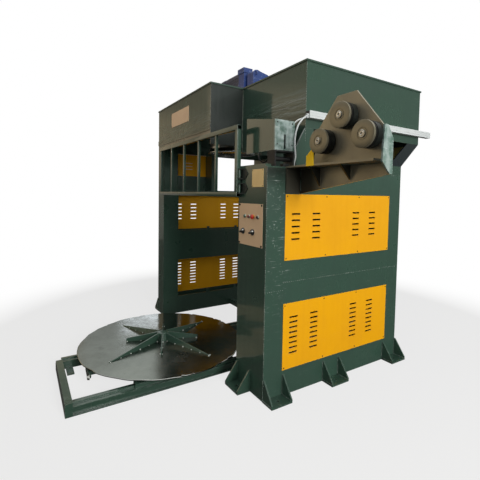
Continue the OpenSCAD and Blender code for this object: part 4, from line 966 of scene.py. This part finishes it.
# %% rotary knobs
for side_name, twist in (("left", 28), ("right", 24)):
    near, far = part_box("rotary_switch_" + side_name)
    centre = Vector(((near[0] + far[0]) / 2, plate_y, (near[2] + far[2]) / 2))
    stand_on = Matrix.Translation(centre) @ FRONTWARD @ Matrix.Rotation(math.radians(twist), 4, "Z")
    build = bmesh.new()
    turned_mesh(build, [(0, -0.0029), (0.005, -0.0029), (0.005, 0.0004), (0.0255, 0.0004), (0.0258, 0.003),
                        (0.0225, 0.0055), (0.0195, 0.011),
                        (0.0185, 0.0135), (0, 0.0135)], stand_on, 48)
    bar(build, (-0.0255, -0.0075, 0.010), (0.0225, 0.0075, 0.0255), stand_on, 0.003)
    add_piece("knob_" + side_name, bmesh_to("knob_" + side_name, build), finishes["black_knob"],
              "switch_" + side_name,
              ("rotary_switch_" + side_name,))
    build = bmesh.new()
    bar(build, (0.0065, -0.0022, 0.0248), (0.0232, 0.0022, 0.0262), stand_on, 0.0004)
    bar(build, (0.0215, -0.0045, 0.0115), (0.0262, 0.0045, 0.0235), stand_on, 0.001)
    add_piece("knob_pointer_" + side_name, bmesh_to("knob_pointer_" + side_name, build),
              finishes["pale_pointer"],
              "switch_" + side_name)
print("knobs done")

# %% [markdown]
# ## The gate
# The gate is welded from square tube: two long rails, two end posts and four bars. Its solid
# runs on to the leg's outer side, but the photographed one ends at the leg's inner side, so
# this piece is drawn to that size inside it. Each tube is a box with rounded corners, and
# two turned barrels beside the hinge post sit on the hinge's pin and swing with the gate.

# %% gate frame
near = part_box("gate")[0]
hinge_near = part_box("gate_hinges")[0]
GATE_LEFT, GATE_RIGHT, GATE_LOW, GATE_TOP, TUBE, BAR = -1.050, 0.862, near[2], near[2] + 0.597, 0.040, 0.024
gate_y = near[1]
build = bmesh.new()
for z in (GATE_LOW, GATE_TOP - TUBE):
    bar(build, (GATE_LEFT, gate_y, z), (GATE_RIGHT, gate_y + TUBE, z + TUBE), bevel=0.003)
for x in (GATE_LEFT, GATE_RIGHT - TUBE):
    bar(build, (x, gate_y + 0.0004, GATE_LOW + 0.002), (x + TUBE, gate_y + TUBE - 0.0004, GATE_TOP - 0.002),
        bevel=0.003)
for k in range(1, 5):
    x = GATE_LEFT + TUBE / 2 + k * (GATE_RIGHT - GATE_LEFT - TUBE) / 5 - BAR / 2
    bar(build, (x, gate_y + 0.004, GATE_LOW + TUBE - 0.002), (x + BAR, gate_y + 0.004 + BAR,
                                                              GATE_TOP - TUBE + 0.002), bevel=0.002)
hinge_x, hinge_y = hinge_near[0] + 0.008, gate_y + TUBE / 2
BARREL = 0.060
for z in (GATE_LOW + 0.040, GATE_LOW + 0.160):
    turned_mesh(build, [(0.0086, 0), (0.0145, 0), (0.0145, BARREL), (0.0086, BARREL)],
                Matrix.Translation((hinge_x, hinge_y, z)), 24, bored=True)
print("gate from", GATE_LEFT, "to", GATE_RIGHT, "hinge at", round(hinge_x, 3), round(hinge_y, 3))
add_piece("gate_frame", bmesh_to("gate_frame", build), finishes["green_paint"], "gate",
          ("gate",))

# %% [markdown]
# ## Coil turntable
# The turntable is a disc cut by hand with a torch from thick plate: the edge wanders in short
# flats and has small notches. A seeded random walk round the rim gives that outline. Four
# long tapered ribs and four short ones stand on it round a low hub.

# %% turntable disc
near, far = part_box("turntable")
table_x, table_y = (near[0] + far[0]) / 2, (near[1] + far[1]) / 2
DISC_LOW, DISC_TOP, DISC_R = 0.120, 0.130, 0.790
chance = random.Random(11)
rim = []
angle = 0.0
while angle < 359:
    rim.append((math.radians(angle), DISC_R - 0.001 - chance.random() ** 2 * 0.011))
    if chance.random() < 0.16:
        rim.append((math.radians(angle + 0.5), DISC_R - 0.016 - 0.010 * chance.random()))
        angle += 1.0
    angle += chance.uniform(2.0, 7.0)
build = bmesh.new()
outline = [Vector((table_x + r * math.cos(a), table_y + r * math.sin(a), 0)) for a, r in rim]
rings = []
for inset, z in ((0.0025, DISC_LOW), (0.0, DISC_LOW + 0.002), (0.0, DISC_TOP - 0.002),
                 (0.003, DISC_TOP - 0.0002)):
    hub = Vector((table_x, table_y, 0))
    rings.append([build.verts.new(p - (p - hub).normalized() * inset + Vector((0, 0, z))) for p in outline])
for low_ring, high_ring in zip(rings, rings[1:]):
    for k in range(len(outline)):
        j = (k + 1) % len(outline)
        build.faces.new((low_ring[k], low_ring[j], high_ring[j], high_ring[k]))
build.faces.new(rings[0])
build.faces.new(rings[-1])
disc_mesh = bmesh_to("turntable_disc", build)
add_piece("turntable_disc", disc_mesh, finishes["table_steel"], "turntable", ("turntable",),
          sharp=20)
print("rim points", len(outline))

# %% turntable ribs and hub
build = bmesh.new()
hub_place = Matrix.Translation((table_x, table_y, DISC_TOP))
turned_mesh(build, [(0, -0.001), (0.055, -0.001), (0.055, 0.078), (0.052, 0.080), (0.020, 0.080),
                    (0.018, 0.072), (0, 0.072)], hub_place, 48)
turned_mesh(build, [(0, near[2] - DISC_TOP), (0.030, near[2] - DISC_TOP), (0.030, -0.011), (0, -0.011)],
            hub_place, 48)
RIBS = [(24 + 90 * k, 0.620, 0.002) for k in range(4)] + [(69 + 90 * k, 0.350, 0.030) for k in range(4)]
for turn, reach, tip in RIBS:
    spot = hub_place @ Matrix.Rotation(math.radians(turn), 4, "Z")
    corners = [(0.050, -0.0005), (reach, -0.0005), (reach, tip), (0.050, 0.080)]
    prism(build, [[spot @ Vector((x, y, z)) for x, z in corners] for y in (-0.006, 0.006)])
bmesh.ops.bevel(build, geom=[e for e in build.edges if e.calc_length() > 0.2], offset=0.001, segments=1,
                affect="EDGES")
add_piece("turntable_ribs", bmesh_to("turntable_ribs", build), finishes["green_paint"], "turntable",
          ("turntable",))
print("ribs", len(RIBS))

# %% [markdown]
# ## Screws, bolts and welds
# Screws repeat, so a Geometry Nodes tree sets one head on each point of a small point cloud.
# Each point carries the direction that its head faces. The head's width and a seed for its
# random turn are inputs, and the result is turned into a plain mesh.


# %% point clouds and the fastener tree
def point_cloud(name, points):
    """A mesh of loose points; each entry is (place, facing, size)."""
    mesh = bpy.data.meshes.new(name)
    mesh.from_pydata([p[0] for p in points], [], [])
    facing = mesh.attributes.new("facing", "FLOAT_VECTOR", "POINT")
    for i, point in enumerate(points):
        facing.data[i].vector = point[1]
    size = mesh.attributes.new("size", "FLOAT", "POINT")
    for i, point in enumerate(points):
        size.data[i].value = point[2]
    return mesh


fasteners = bpy.data.node_groups.new("set_fasteners", "GeometryNodeTree")
for label, kind in (("Geometry", "Geometry"), ("Head", "Object"), ("Head Width", "Float"), ("Turn Seed", "Int"),
                    ("Spin", "Float"), ("Finish", "Material")):
    fasteners.interface.new_socket(label, in_out="INPUT", socket_type="NodeSocket" + kind)
fasteners.interface.new_socket("Geometry", in_out="OUTPUT", socket_type="NodeSocketGeometry")
given = node(fasteners, "NodeGroupInput")
gives = node(fasteners, "NodeGroupOutput")
head = node(fasteners, "GeometryNodeObjectInfo")
wire(fasteners, given.outputs["Head"], head.inputs["Object"])
direction = node(fasteners, "GeometryNodeInputNamedAttribute", data_type="FLOAT_VECTOR")
direction.inputs["Name"].default_value = "facing"
size = node(fasteners, "GeometryNodeInputNamedAttribute", data_type="FLOAT")
size.inputs["Name"].default_value = "size"
aim = node(fasteners, "FunctionNodeAlignRotationToVector", axis="Z")
wire(fasteners, direction.outputs["Attribute"], aim.inputs["Vector"])
scale = mathed(fasteners, "MULTIPLY", size.outputs["Attribute"], given.outputs["Head Width"])
setter = node(fasteners, "GeometryNodeInstanceOnPoints")
wire(fasteners, given.outputs["Geometry"], setter.inputs["Points"])
wire(fasteners, head.outputs["Geometry"], setter.inputs["Instance"])
wire(fasteners, aim.outputs["Rotation"], setter.inputs["Rotation"])
wire(fasteners, scale, setter.inputs["Scale"])
spin = node(fasteners, "FunctionNodeRandomValue", data_type="FLOAT")
wire(fasteners, given.outputs["Turn Seed"], spin.inputs["Seed"])
wire(fasteners, given.outputs["Spin"], spin.inputs[3])
turner = node(fasteners, "ShaderNodeCombineXYZ")
wire(fasteners, spin.outputs[1], turner.inputs["Z"])
twister = node(fasteners, "GeometryNodeRotateInstances")
wire(fasteners, setter.outputs["Instances"], twister.inputs["Instances"])
wire(fasteners, turner.outputs["Vector"], twister.inputs["Rotation"])
solid = node(fasteners, "GeometryNodeRealizeInstances")
wire(fasteners, twister.outputs["Instances"], solid.inputs["Geometry"])
coated = node(fasteners, "GeometryNodeSetMaterial")
wire(fasteners, solid.outputs["Geometry"], coated.inputs["Geometry"])
wire(fasteners, given.outputs["Finish"], coated.inputs["Material"])
wire(fasteners, coated.outputs["Geometry"], gives.inputs["Geometry"])


def grown(name, mesh, tree, values, finish, body, slot, sharp=35):
    """Runs a node tree on a mesh and keeps the result as one plain piece."""
    seed_object = bpy.data.objects.new(name + "_seed", mesh)
    bpy.context.scene.collection.objects.link(seed_object)
    grower = seed_object.modifiers.new("grow", "NODES")
    grower.node_group = tree
    sockets = {s.name: s.identifier for s in tree.interface.items_tree if s.in_out == "INPUT"}
    for label, value in {**values, "Finish": finish}.items():
        grower[sockets[label]] = value
    result = seed_object.evaluated_get(bpy.context.evaluated_depsgraph_get())
    plain = bpy.data.meshes.new_from_object(result)
    seed_object.modifiers.clear()
    bpy.data.objects.remove(seed_object)
    return add_piece(name, plain, finish, body, sharp=sharp)


print("fastener tree", len(fasteners.nodes), "nodes")

# %% screw and bolt heads
heads = {}
for name, section, hexed, steps in (
        ("pan_head", [(0, -0.02), (0.5, -0.02), (0.52, 0.08), (0.46, 0.20), (0.30, 0.28), (0.16, 0.30),
                      (0.12, 0.12), (0, 0.12)], (6,), 24),
        ("hex_bolt", [(0, -0.02), (0.62, -0.02), (0.62, 0.09), (0.60, 0.10), (0.52, 0.10), (0.52, 0.40),
                      (0.47, 0.45), (0, 0.46)], (4, 5), 24),
        ("socket_bolt", [(0, -0.02), (0.5, -0.02), (0.5, 0.42), (0.46, 0.48), (0.27, 0.48), (0.25, 0.20),
                         (0, 0.20)], (4, 5), 24),
        ("weld_blob", [(0, -0.25), (0.38, -0.12), (0.5, 0.05), (0.42, 0.26), (0.22, 0.40), (0, 0.44)], (), 10)):
    build = bmesh.new()
    turned_mesh(build, section, Matrix(), steps, hexed=hexed)
    heads[name] = bpy.data.objects.new(name, bmesh_to(name, build))
    heads[name].data.shade_smooth()
    bpy.context.scene.collection.objects.link(heads[name])
print("heads", list(heads))

# %% where the screws sit
RIGHT, LEFT, FRONT, UP = (1, 0, 0), (-1, 0, 0), (0, -1, 0), (0, 0, 1)
panel_screws = []
for name, facing in (("right_upper_panel", RIGHT), ("right_lower_panel", RIGHT), ("left_upper_panel", RIGHT),
                     ("left_lower_panel", RIGHT)):
    near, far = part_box(name)
    for part in (0.012, 0.345, 0.66, 0.988):
        for z in (near[2] + 0.016, far[2] - 0.016):
            panel_screws.append(((far[0], near[1] + part * (far[1] - near[1]), z), facing, 1.0))
near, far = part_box("left_top_panel")
for y in (near[1] + 0.014, far[1] - 0.014):
    for z in (near[2] + 0.014, far[2] - 0.014):
        panel_screws.append(((far[0], y, z), RIGHT, 1.0))
plate_screws = []
for name, inset, size_here in (("control_plate", 0.011, 1.25), ("label_plate", 0.008, 0.55),
                               ("nameplate", 0.010, 0.7)):
    near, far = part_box(name)
    for x in (near[0] + inset, far[0] - inset):
        for z in (near[2] + inset, far[2] - inset):
            plate_screws.append(((x, near[1], z), FRONT, size_here))
grown("panel_screws", point_cloud("panel_screws", panel_screws), fasteners,
      {"Head": heads["pan_head"], "Head Width": 0.011, "Turn Seed": 3, "Spin": 6.28},
      finishes["screw_dark"], "stand", "dark_steel")
grown("plate_screws", point_cloud("plate_screws", plate_screws), fasteners,
      {"Head": heads["pan_head"], "Head Width": 0.014, "Turn Seed": 5, "Spin": 6.28},
      finishes["screw_dark"], "stand", "dark_steel")
print("screws", len(panel_screws) + len(plate_screws))

# %% bolts on the drive, die plate, trunking and lug
bolts = []
near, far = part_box("gear_housing")
drum_near, drum_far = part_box("drum")
axis_x, axis_y = (drum_near[0] + drum_far[0]) / 2, (drum_near[1] + drum_far[1]) / 2
for k in range(8):
    a = math.radians(22.5 + 45 * k)
    x, y = axis_x + 0.150 * math.cos(a), axis_y + 0.150 * math.sin(a)
    if y < axis_y + 0.085:
        bolts.append(((x, y, near[2] + 0.018), UP, 0.024))
for x in (-0.075, 0.017):
    for y in (-0.2755, -0.1915):
        bolts.append(((x, y, far[2]), UP, 0.012))
grown("drive_bolts", point_cloud("drive_bolts", bolts), fasteners,
      {"Head": heads["hex_bolt"], "Head Width": 1.0, "Turn Seed": 1, "Spin": 6.28},
      finishes["blue_paint"], "stand", "blue_paint")
small_bolts = []
for y in (-0.744, -0.566):
    for z in (1.845, 1.930):
        small_bolts.append(((1.226, y, z), RIGHT, 0.010))
small_bolts.append(((1.026, -0.712, 1.838), FRONT, 0.012))
grown("small_bolts", point_cloud("small_bolts", small_bolts), fasteners,
      {"Head": heads["socket_bolt"], "Head Width": 1.0, "Turn Seed": 2, "Spin": 6.28},
      finishes["dark_steel"], "stand", "dark_steel")
lug_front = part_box("carriage")[0][1]
grown("lug_bolt", point_cloud("lug_bolt", [((0.316, lug_front, 0.074), FRONT, 0.034)]), fasteners,
      {"Head": heads["hex_bolt"], "Head Width": 1.0, "Turn Seed": 4, "Spin": 6.28}, finishes["polished_bolt"],
      "carriage", "bare_steel")
print("bolts", len(bolts) + len(small_bolts) + 1)

# %% [markdown]
# ## Weld beads
# A hand-laid bead is a row of overlapping blobs. The tree below resamples a line at one
# pitch, sets a flattened blob on every point with a random size and turn, and joins them.
# The same tree with a long pitch gives the single tack welds along the turntable's ribs.


# %% weld tree
welds = bpy.data.node_groups.new("lay_weld", "GeometryNodeTree")
for label, kind in (("Geometry", "Geometry"), ("Blob", "Object"), ("Pitch", "Float"), ("Bead Width", "Float"),
                    ("Seed", "Int"), ("Finish", "Material")):
    welds.interface.new_socket(label, in_out="INPUT", socket_type="NodeSocket" + kind)
welds.interface.new_socket("Geometry", in_out="OUTPUT", socket_type="NodeSocketGeometry")
given = node(welds, "NodeGroupInput")
gives = node(welds, "NodeGroupOutput")
to_curve = node(welds, "GeometryNodeMeshToCurve")
wire(welds, given.outputs["Geometry"], to_curve.inputs["Mesh"])
spaced = node(welds, "GeometryNodeResampleCurve", mode="LENGTH")
wire(welds, to_curve.outputs["Curve"], spaced.inputs["Curve"])
wire(welds, given.outputs["Pitch"], spaced.inputs["Length"])
blob = node(welds, "GeometryNodeObjectInfo")
wire(welds, given.outputs["Blob"], blob.inputs["Object"])
uneven = node(welds, "FunctionNodeRandomValue", data_type="FLOAT")
uneven.inputs[2].default_value, uneven.inputs[3].default_value = 0.65, 1.25
wire(welds, given.outputs["Seed"], uneven.inputs["Seed"])
blob_size = mathed(welds, "MULTIPLY", uneven.outputs[1], given.outputs["Bead Width"])
any_turn = node(welds, "FunctionNodeRandomValue", data_type="FLOAT_VECTOR")
any_turn.inputs[1].default_value = (0.5, 0.5, 6.28)
wire(welds, given.outputs["Seed"], any_turn.inputs["Seed"])
beads = node(welds, "GeometryNodeInstanceOnPoints")
wire(welds, spaced.outputs["Curve"], beads.inputs["Points"])
wire(welds, blob.outputs["Geometry"], beads.inputs["Instance"])
wire(welds, any_turn.outputs[0], beads.inputs["Rotation"])
wire(welds, blob_size, beads.inputs["Scale"])
bead_solid = node(welds, "GeometryNodeRealizeInstances")
wire(welds, beads.outputs["Instances"], bead_solid.inputs["Geometry"])
bead_coat = node(welds, "GeometryNodeSetMaterial")
wire(welds, bead_solid.outputs["Geometry"], bead_coat.inputs["Geometry"])
wire(welds, given.outputs["Finish"], bead_coat.inputs["Material"])
wire(welds, bead_coat.outputs["Geometry"], gives.inputs["Geometry"])


def line_mesh(name, lines):
    """A mesh of separate edge chains; each line is a list of points."""
    mesh = bpy.data.meshes.new(name)
    points, edges = [], []
    for line in lines:
        start = len(points)
        points += line
        edges += [(start + k, start + k + 1) for k in range(len(line) - 1)]
    mesh.from_pydata(points, edges, [])
    return mesh


print("weld tree", len(welds.nodes), "nodes")

# %% weld lines
foot_lines = []
for sign, x in ((1, 1.226), (-1, -1.226)):
    for y0 in (-0.719, -0.086, 0.719):
        for y in (y0 - 0.100, y0 - 0.088, y0 + 0.088, y0 + 0.100):
            foot_lines.append([(x + sign * 0.0015, y, 0.020), (x + sign * 0.0015, y, 0.172)])
            foot_lines.append([(x + sign * 0.006, y, 0.0175), (x + sign * 0.114, y, 0.0175)])
arm_lines = []
for x in (1.446, 1.726):
    for dx in (-0.001, 0.013):
        arm_lines.append([(x + dx, -0.600, 1.8100), (x + dx, -0.500, 1.8100)])
arm_lines.append([(1.240, -0.4975, 1.640), (1.240, -0.4975, 1.806)])
arm_lines.append([(1.240, -0.4975, 1.8095), (2.020, -0.4975, 1.8095)])
grown("foot_welds", line_mesh("foot_welds", foot_lines), welds,
      {"Blob": heads["weld_blob"], "Pitch": 0.006, "Bead Width": 0.010, "Seed": 4},
      finishes["green_paint"], "stand", "green_paint")
grown("arm_welds", line_mesh("arm_welds", arm_lines), welds, {"Blob": heads["weld_blob"], "Pitch": 0.005,
                                                              "Bead Width": 0.008, "Seed": 6},
      finishes["green_paint"], "stand", "green_paint")
tack_lines = []
for turn, reach, tip in RIBS:
    spot = hub_place @ Matrix.Rotation(math.radians(turn), 4, "Z")
    for y in (-0.0085, 0.0085):
        tack_lines.append([tuple(spot @ Vector((0.075, y, 0.001))),
                           tuple(spot @ Vector((reach - 0.01, y, 0.001)))])
grown("rib_tacks", line_mesh("rib_tacks", tack_lines), welds,
      {"Blob": heads["weld_blob"], "Pitch": 0.105, "Bead Width": 0.013, "Seed": 8},
      finishes["weld_flecks"], "turntable", "green_paint")
print("weld lines", len(foot_lines) + len(arm_lines) + len(tack_lines))

# %% [markdown]
# ## Louvre lips, seams, paint chips and edge highlights
# The panels' slots were punched from behind, so a small lip stands out below each. The side
# plate is welded from two sheets, and the filler over that seam has cracked into short pale
# flecks. Pale flecks laid along the hood's corners and the leg's front corner draw thin broken
# white lines: chipped paint, and a painted highlight of those edges as well.

# %% louvre lips
build = bmesh.new()
bar(build, (0.0004, -0.0435, -0.0010), (0.0042, 0.0435, 0.0030), bevel=0.0012)
lip = bpy.data.objects.new("lip", bmesh_to("lip", build))
bpy.context.scene.collection.objects.link(lip)
lips = []
for name, rows, step, low_row in (("right_upper_panel", 5, 0.050, 0.160),
                                  ("right_lower_panel", 8, 0.0415, 0.122),
                                  ("left_upper_panel", 5, 0.050, 0.160),
                                  ("left_lower_panel", 8, 0.0415, 0.122)):
    near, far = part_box(name)
    for column in (0.065, 0.287, 0.768, 0.990):
        for row in range(rows):
            lips.append(((far[0], near[1] + column + 0.0425, near[2] + low_row + row * step), RIGHT, 1.0))
lip_seed = point_cloud("louvre_lips", lips)
grown("louvre_lips", lip_seed, fasteners, {"Head": lip, "Head Width": 1.0, "Turn Seed": 0, "Spin": 0.0},
      finishes["yellow_paint"],
      "stand", "yellow_paint")
bpy.data.objects.remove(lip)
print("louvre lips", len(lips))

# %% [markdown]
# ## Small fittings
# The cables enter the trunking through two plastic glands, and a folded steel bracket closes
# the trunking's end. Beside the die a wire ring stands on a short foot. It is a round bar
# bent to a circle, so its section is a small circle swept about the ring's axis. A packing
# piece fills the space under the die holder.

# %% trunking glands and end bracket
near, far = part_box("cable_trunking")
build = bmesh.new()
for x, z in ((1.248, 2.238), (1.246, 2.222)):
    turned_mesh(build, [(0.0078, 0.0), (0.0115, 0.0), (0.0115, 0.007), (0.0098, 0.008), (0.0098, 0.016),
                        (0.0078, 0.017)],
                Matrix.Translation((x, near[1] - 0.0003, z)) @ FRONTWARD, 24, bored=True)
add_piece("cable_glands", bmesh_to("cable_glands", build), finishes["white_plastic"], "stand")
build = bmesh.new()
bar(build, (1.2265, near[1] - 0.0060, near[2] + 0.030), (1.232, near[1] + 0.045, near[2] + 0.0545))
bar(build, (1.2265, near[1] - 0.0060, near[2] + 0.034), (1.264, near[1] - 0.0005, near[2] + 0.0545))
add_piece("trunking_bracket", bmesh_to("trunking_bracket", build), finishes["dark_steel"], "stand")
print("trunking front", round(near[1], 3))

# %% wire ring and packing beside the die
build = bmesh.new()
ring_place = Matrix.Translation((1.016, -0.703, 1.914)) @ Matrix.Rotation(math.radians(90), 4, "Y")
ring_section = [(0.049 + 0.0058 * math.cos(a * math.pi / 6), 0.0058 * math.sin(a * math.pi / 6)) for a in range(12)]
turned_mesh(build, ring_section, ring_place, 40, bored=True)
bar(build, (1.010, -0.712, 1.8205), (1.022, -0.694, 1.864))
add_piece("wire_ring", bmesh_to("wire_ring", build), finishes["black_knob"], "stand",
          ("ring_guide",))
build = bmesh.new()
bar(build, (1.184, -0.664, 1.8203), (1.224, -0.604, 1.8445))
add_piece("die_packing", bmesh_to("die_packing", build), finishes["dark_steel"], "stand")
print("ring and packing set")

# %% [markdown]
# ## Sheets in the left leg, under the hood and behind the brace
# The left leg's top panel is seen from inside: a yellow sheet with a flange on top and three
# louvre lips, the lips and flange painted pale as the light that shows through its slots. The
# hood's left front ends in a folded strip, and a sloping sheet lies behind the right rear
# brace. A folded sheet keeps one section along its length, so the last two are prisms whose
# outlines include the sheet's thickness.

# %% the left leg's top panel, seen from inside
sheet_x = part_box("left_upper_frame")[0][0] + 0.0102
build = bmesh.new()
bar(build, (sheet_x, -0.548, 1.848), (sheet_x + 0.003, -0.128, 2.138), bevel=0.0008)
add_piece("top_panel_lining", bmesh_to("top_panel_lining", build), finishes["yellow_paint"], "stand")
build = bmesh.new()
for z in (1.941, 1.983, 2.025):
    bar(build, (sheet_x + 0.0032, -0.440, z - 0.006), (sheet_x + 0.009, -0.336, z + 0.006), bevel=0.001)
bar(build, (sheet_x + 0.0005, -0.550, 2.1383), (sheet_x + 0.020, -0.126, 2.1445), bevel=0.001)
# The lips and flange carry painted light, pale as the light through the panel's slots.
add_piece("top_panel_lips", bmesh_to("top_panel_lips", build), finishes["slot_glow"], "stand")
print("lining at", round(sheet_x, 4))

# %% folded strip under the hood's left front
build = bmesh.new()
skirt = [(-0.8152, 2.2235), (-0.8152, 2.1640), (-0.8130, 2.1600), (-0.7960, 2.1600), (-0.7960, 2.1630),
         (-0.8115, 2.1630), (-0.8122, 2.1650), (-0.8122, 2.2235)]
prism(build, [[(x, y, z) for y, z in skirt] for x in (-1.2235, 0.2815)])
add_piece("hood_skirt", bmesh_to("hood_skirt", build), finishes["hood_paint"], "stand")
print("strip from height", skirt[3][1], "to", skirt[0][1])

# %% sheet behind the rear brace
near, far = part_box("hood_braces")
leg_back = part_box("right_side_plate")[1][1]
build = bmesh.new()
side_line = [(leg_back, near[2] + 0.082), (far[1] - 0.003, far[2]), (far[1] - 0.008, far[2]),
             (leg_back - 0.004, near[2] + 0.086), (leg_back - 0.004, near[2]), (leg_back, near[2])]
prism(build, [[(x, y, z) for y, z in side_line] for x in (0.942, 1.211)])
add_piece("brace_sheet", bmesh_to("brace_sheet", build), finishes["brace_gold"], "stand")
print("brace", [round(v, 3) for v in near], [round(v, 3) for v in far])

# %% cracked seams and chipped corners
seam_lines = [[(1.2262, -0.640 + 0.1406 * k, 0.915 + 0.0008 * (k % 2)) for k in range(11)],
              [(1.2262, -0.814, 0.853), (1.2262, -0.730, 0.8545), (1.2262, -0.645, 0.854)]]
corner_lines = [[(0.2832, -0.8162, 2.150), (0.2832, -0.8162, 2.670)],
                [(1.2262, -0.8162, 0.30), (1.2262, -0.8162, 1.80)],
                [(1.2262, -0.4492, 2.04), (1.2262, -0.4492, 2.66)]]
notch_line = [[(0.2845, -0.4505, 2.035), (0.2845, -0.4505, 2.662)]]
# Painted highlight: the pale flecks along the corners are chipped paint and also the light caught on those edges.
for name, lines, pitch, width, seed in (("side_seam", seam_lines, 0.021, 0.0055, 3),
                                        ("corner_chips", corner_lines, 0.013, 0.0048, 12)):
    grown(name, line_mesh(name, lines), welds, {"Blob": heads["weld_blob"], "Pitch": pitch, "Bead Width": width,
                                                "Seed": seed},
          finishes["weld_flecks"], "stand", "green_paint")
grown("notch_seam", line_mesh("notch_seam", notch_line), welds,
      {"Blob": heads["weld_blob"], "Pitch": 0.004, "Bead Width": 0.008, "Seed": 7},
      finishes["seam_filler"], "stand", "green_paint")
for prototype in heads.values():
    bpy.data.objects.remove(prototype)
print("seams laid")

# %% [markdown]
# ## Dressing the solids
# A solid that no piece stands for still shows, so each gets the finish of its own slot, and
# a few get one made for them. The cables are curves and get the white plastic finish.

# %% dress the solids
slot_of = {p["node"]: p["material_slot"] for p in frame["record"]["subparts"]}
own_finish = {"right_side_plate": "column_paint", "roller_plate": "olive_plate", "arm_bracket": "arm_paint",
              "hood_walls": "hood_paint", "hood_braces": "brace_paint", "arm_tab": "tab_yellow",
              "drive_motor": "motor_shaded_blue", "die_plate": "die_box", "hood_deck": "hood_top",
              "gate_hinges": "hinge_paint"}
for name, solid in frame["nodes"].items():
    solid.data.materials.clear()
    solid.data.materials.append(finishes[own_finish.get(name, slot_of[name])])
for cable in cables:
    cable.data.materials.append(finishes["white_plastic"])
print("dressed", len(slot_of), "solids")
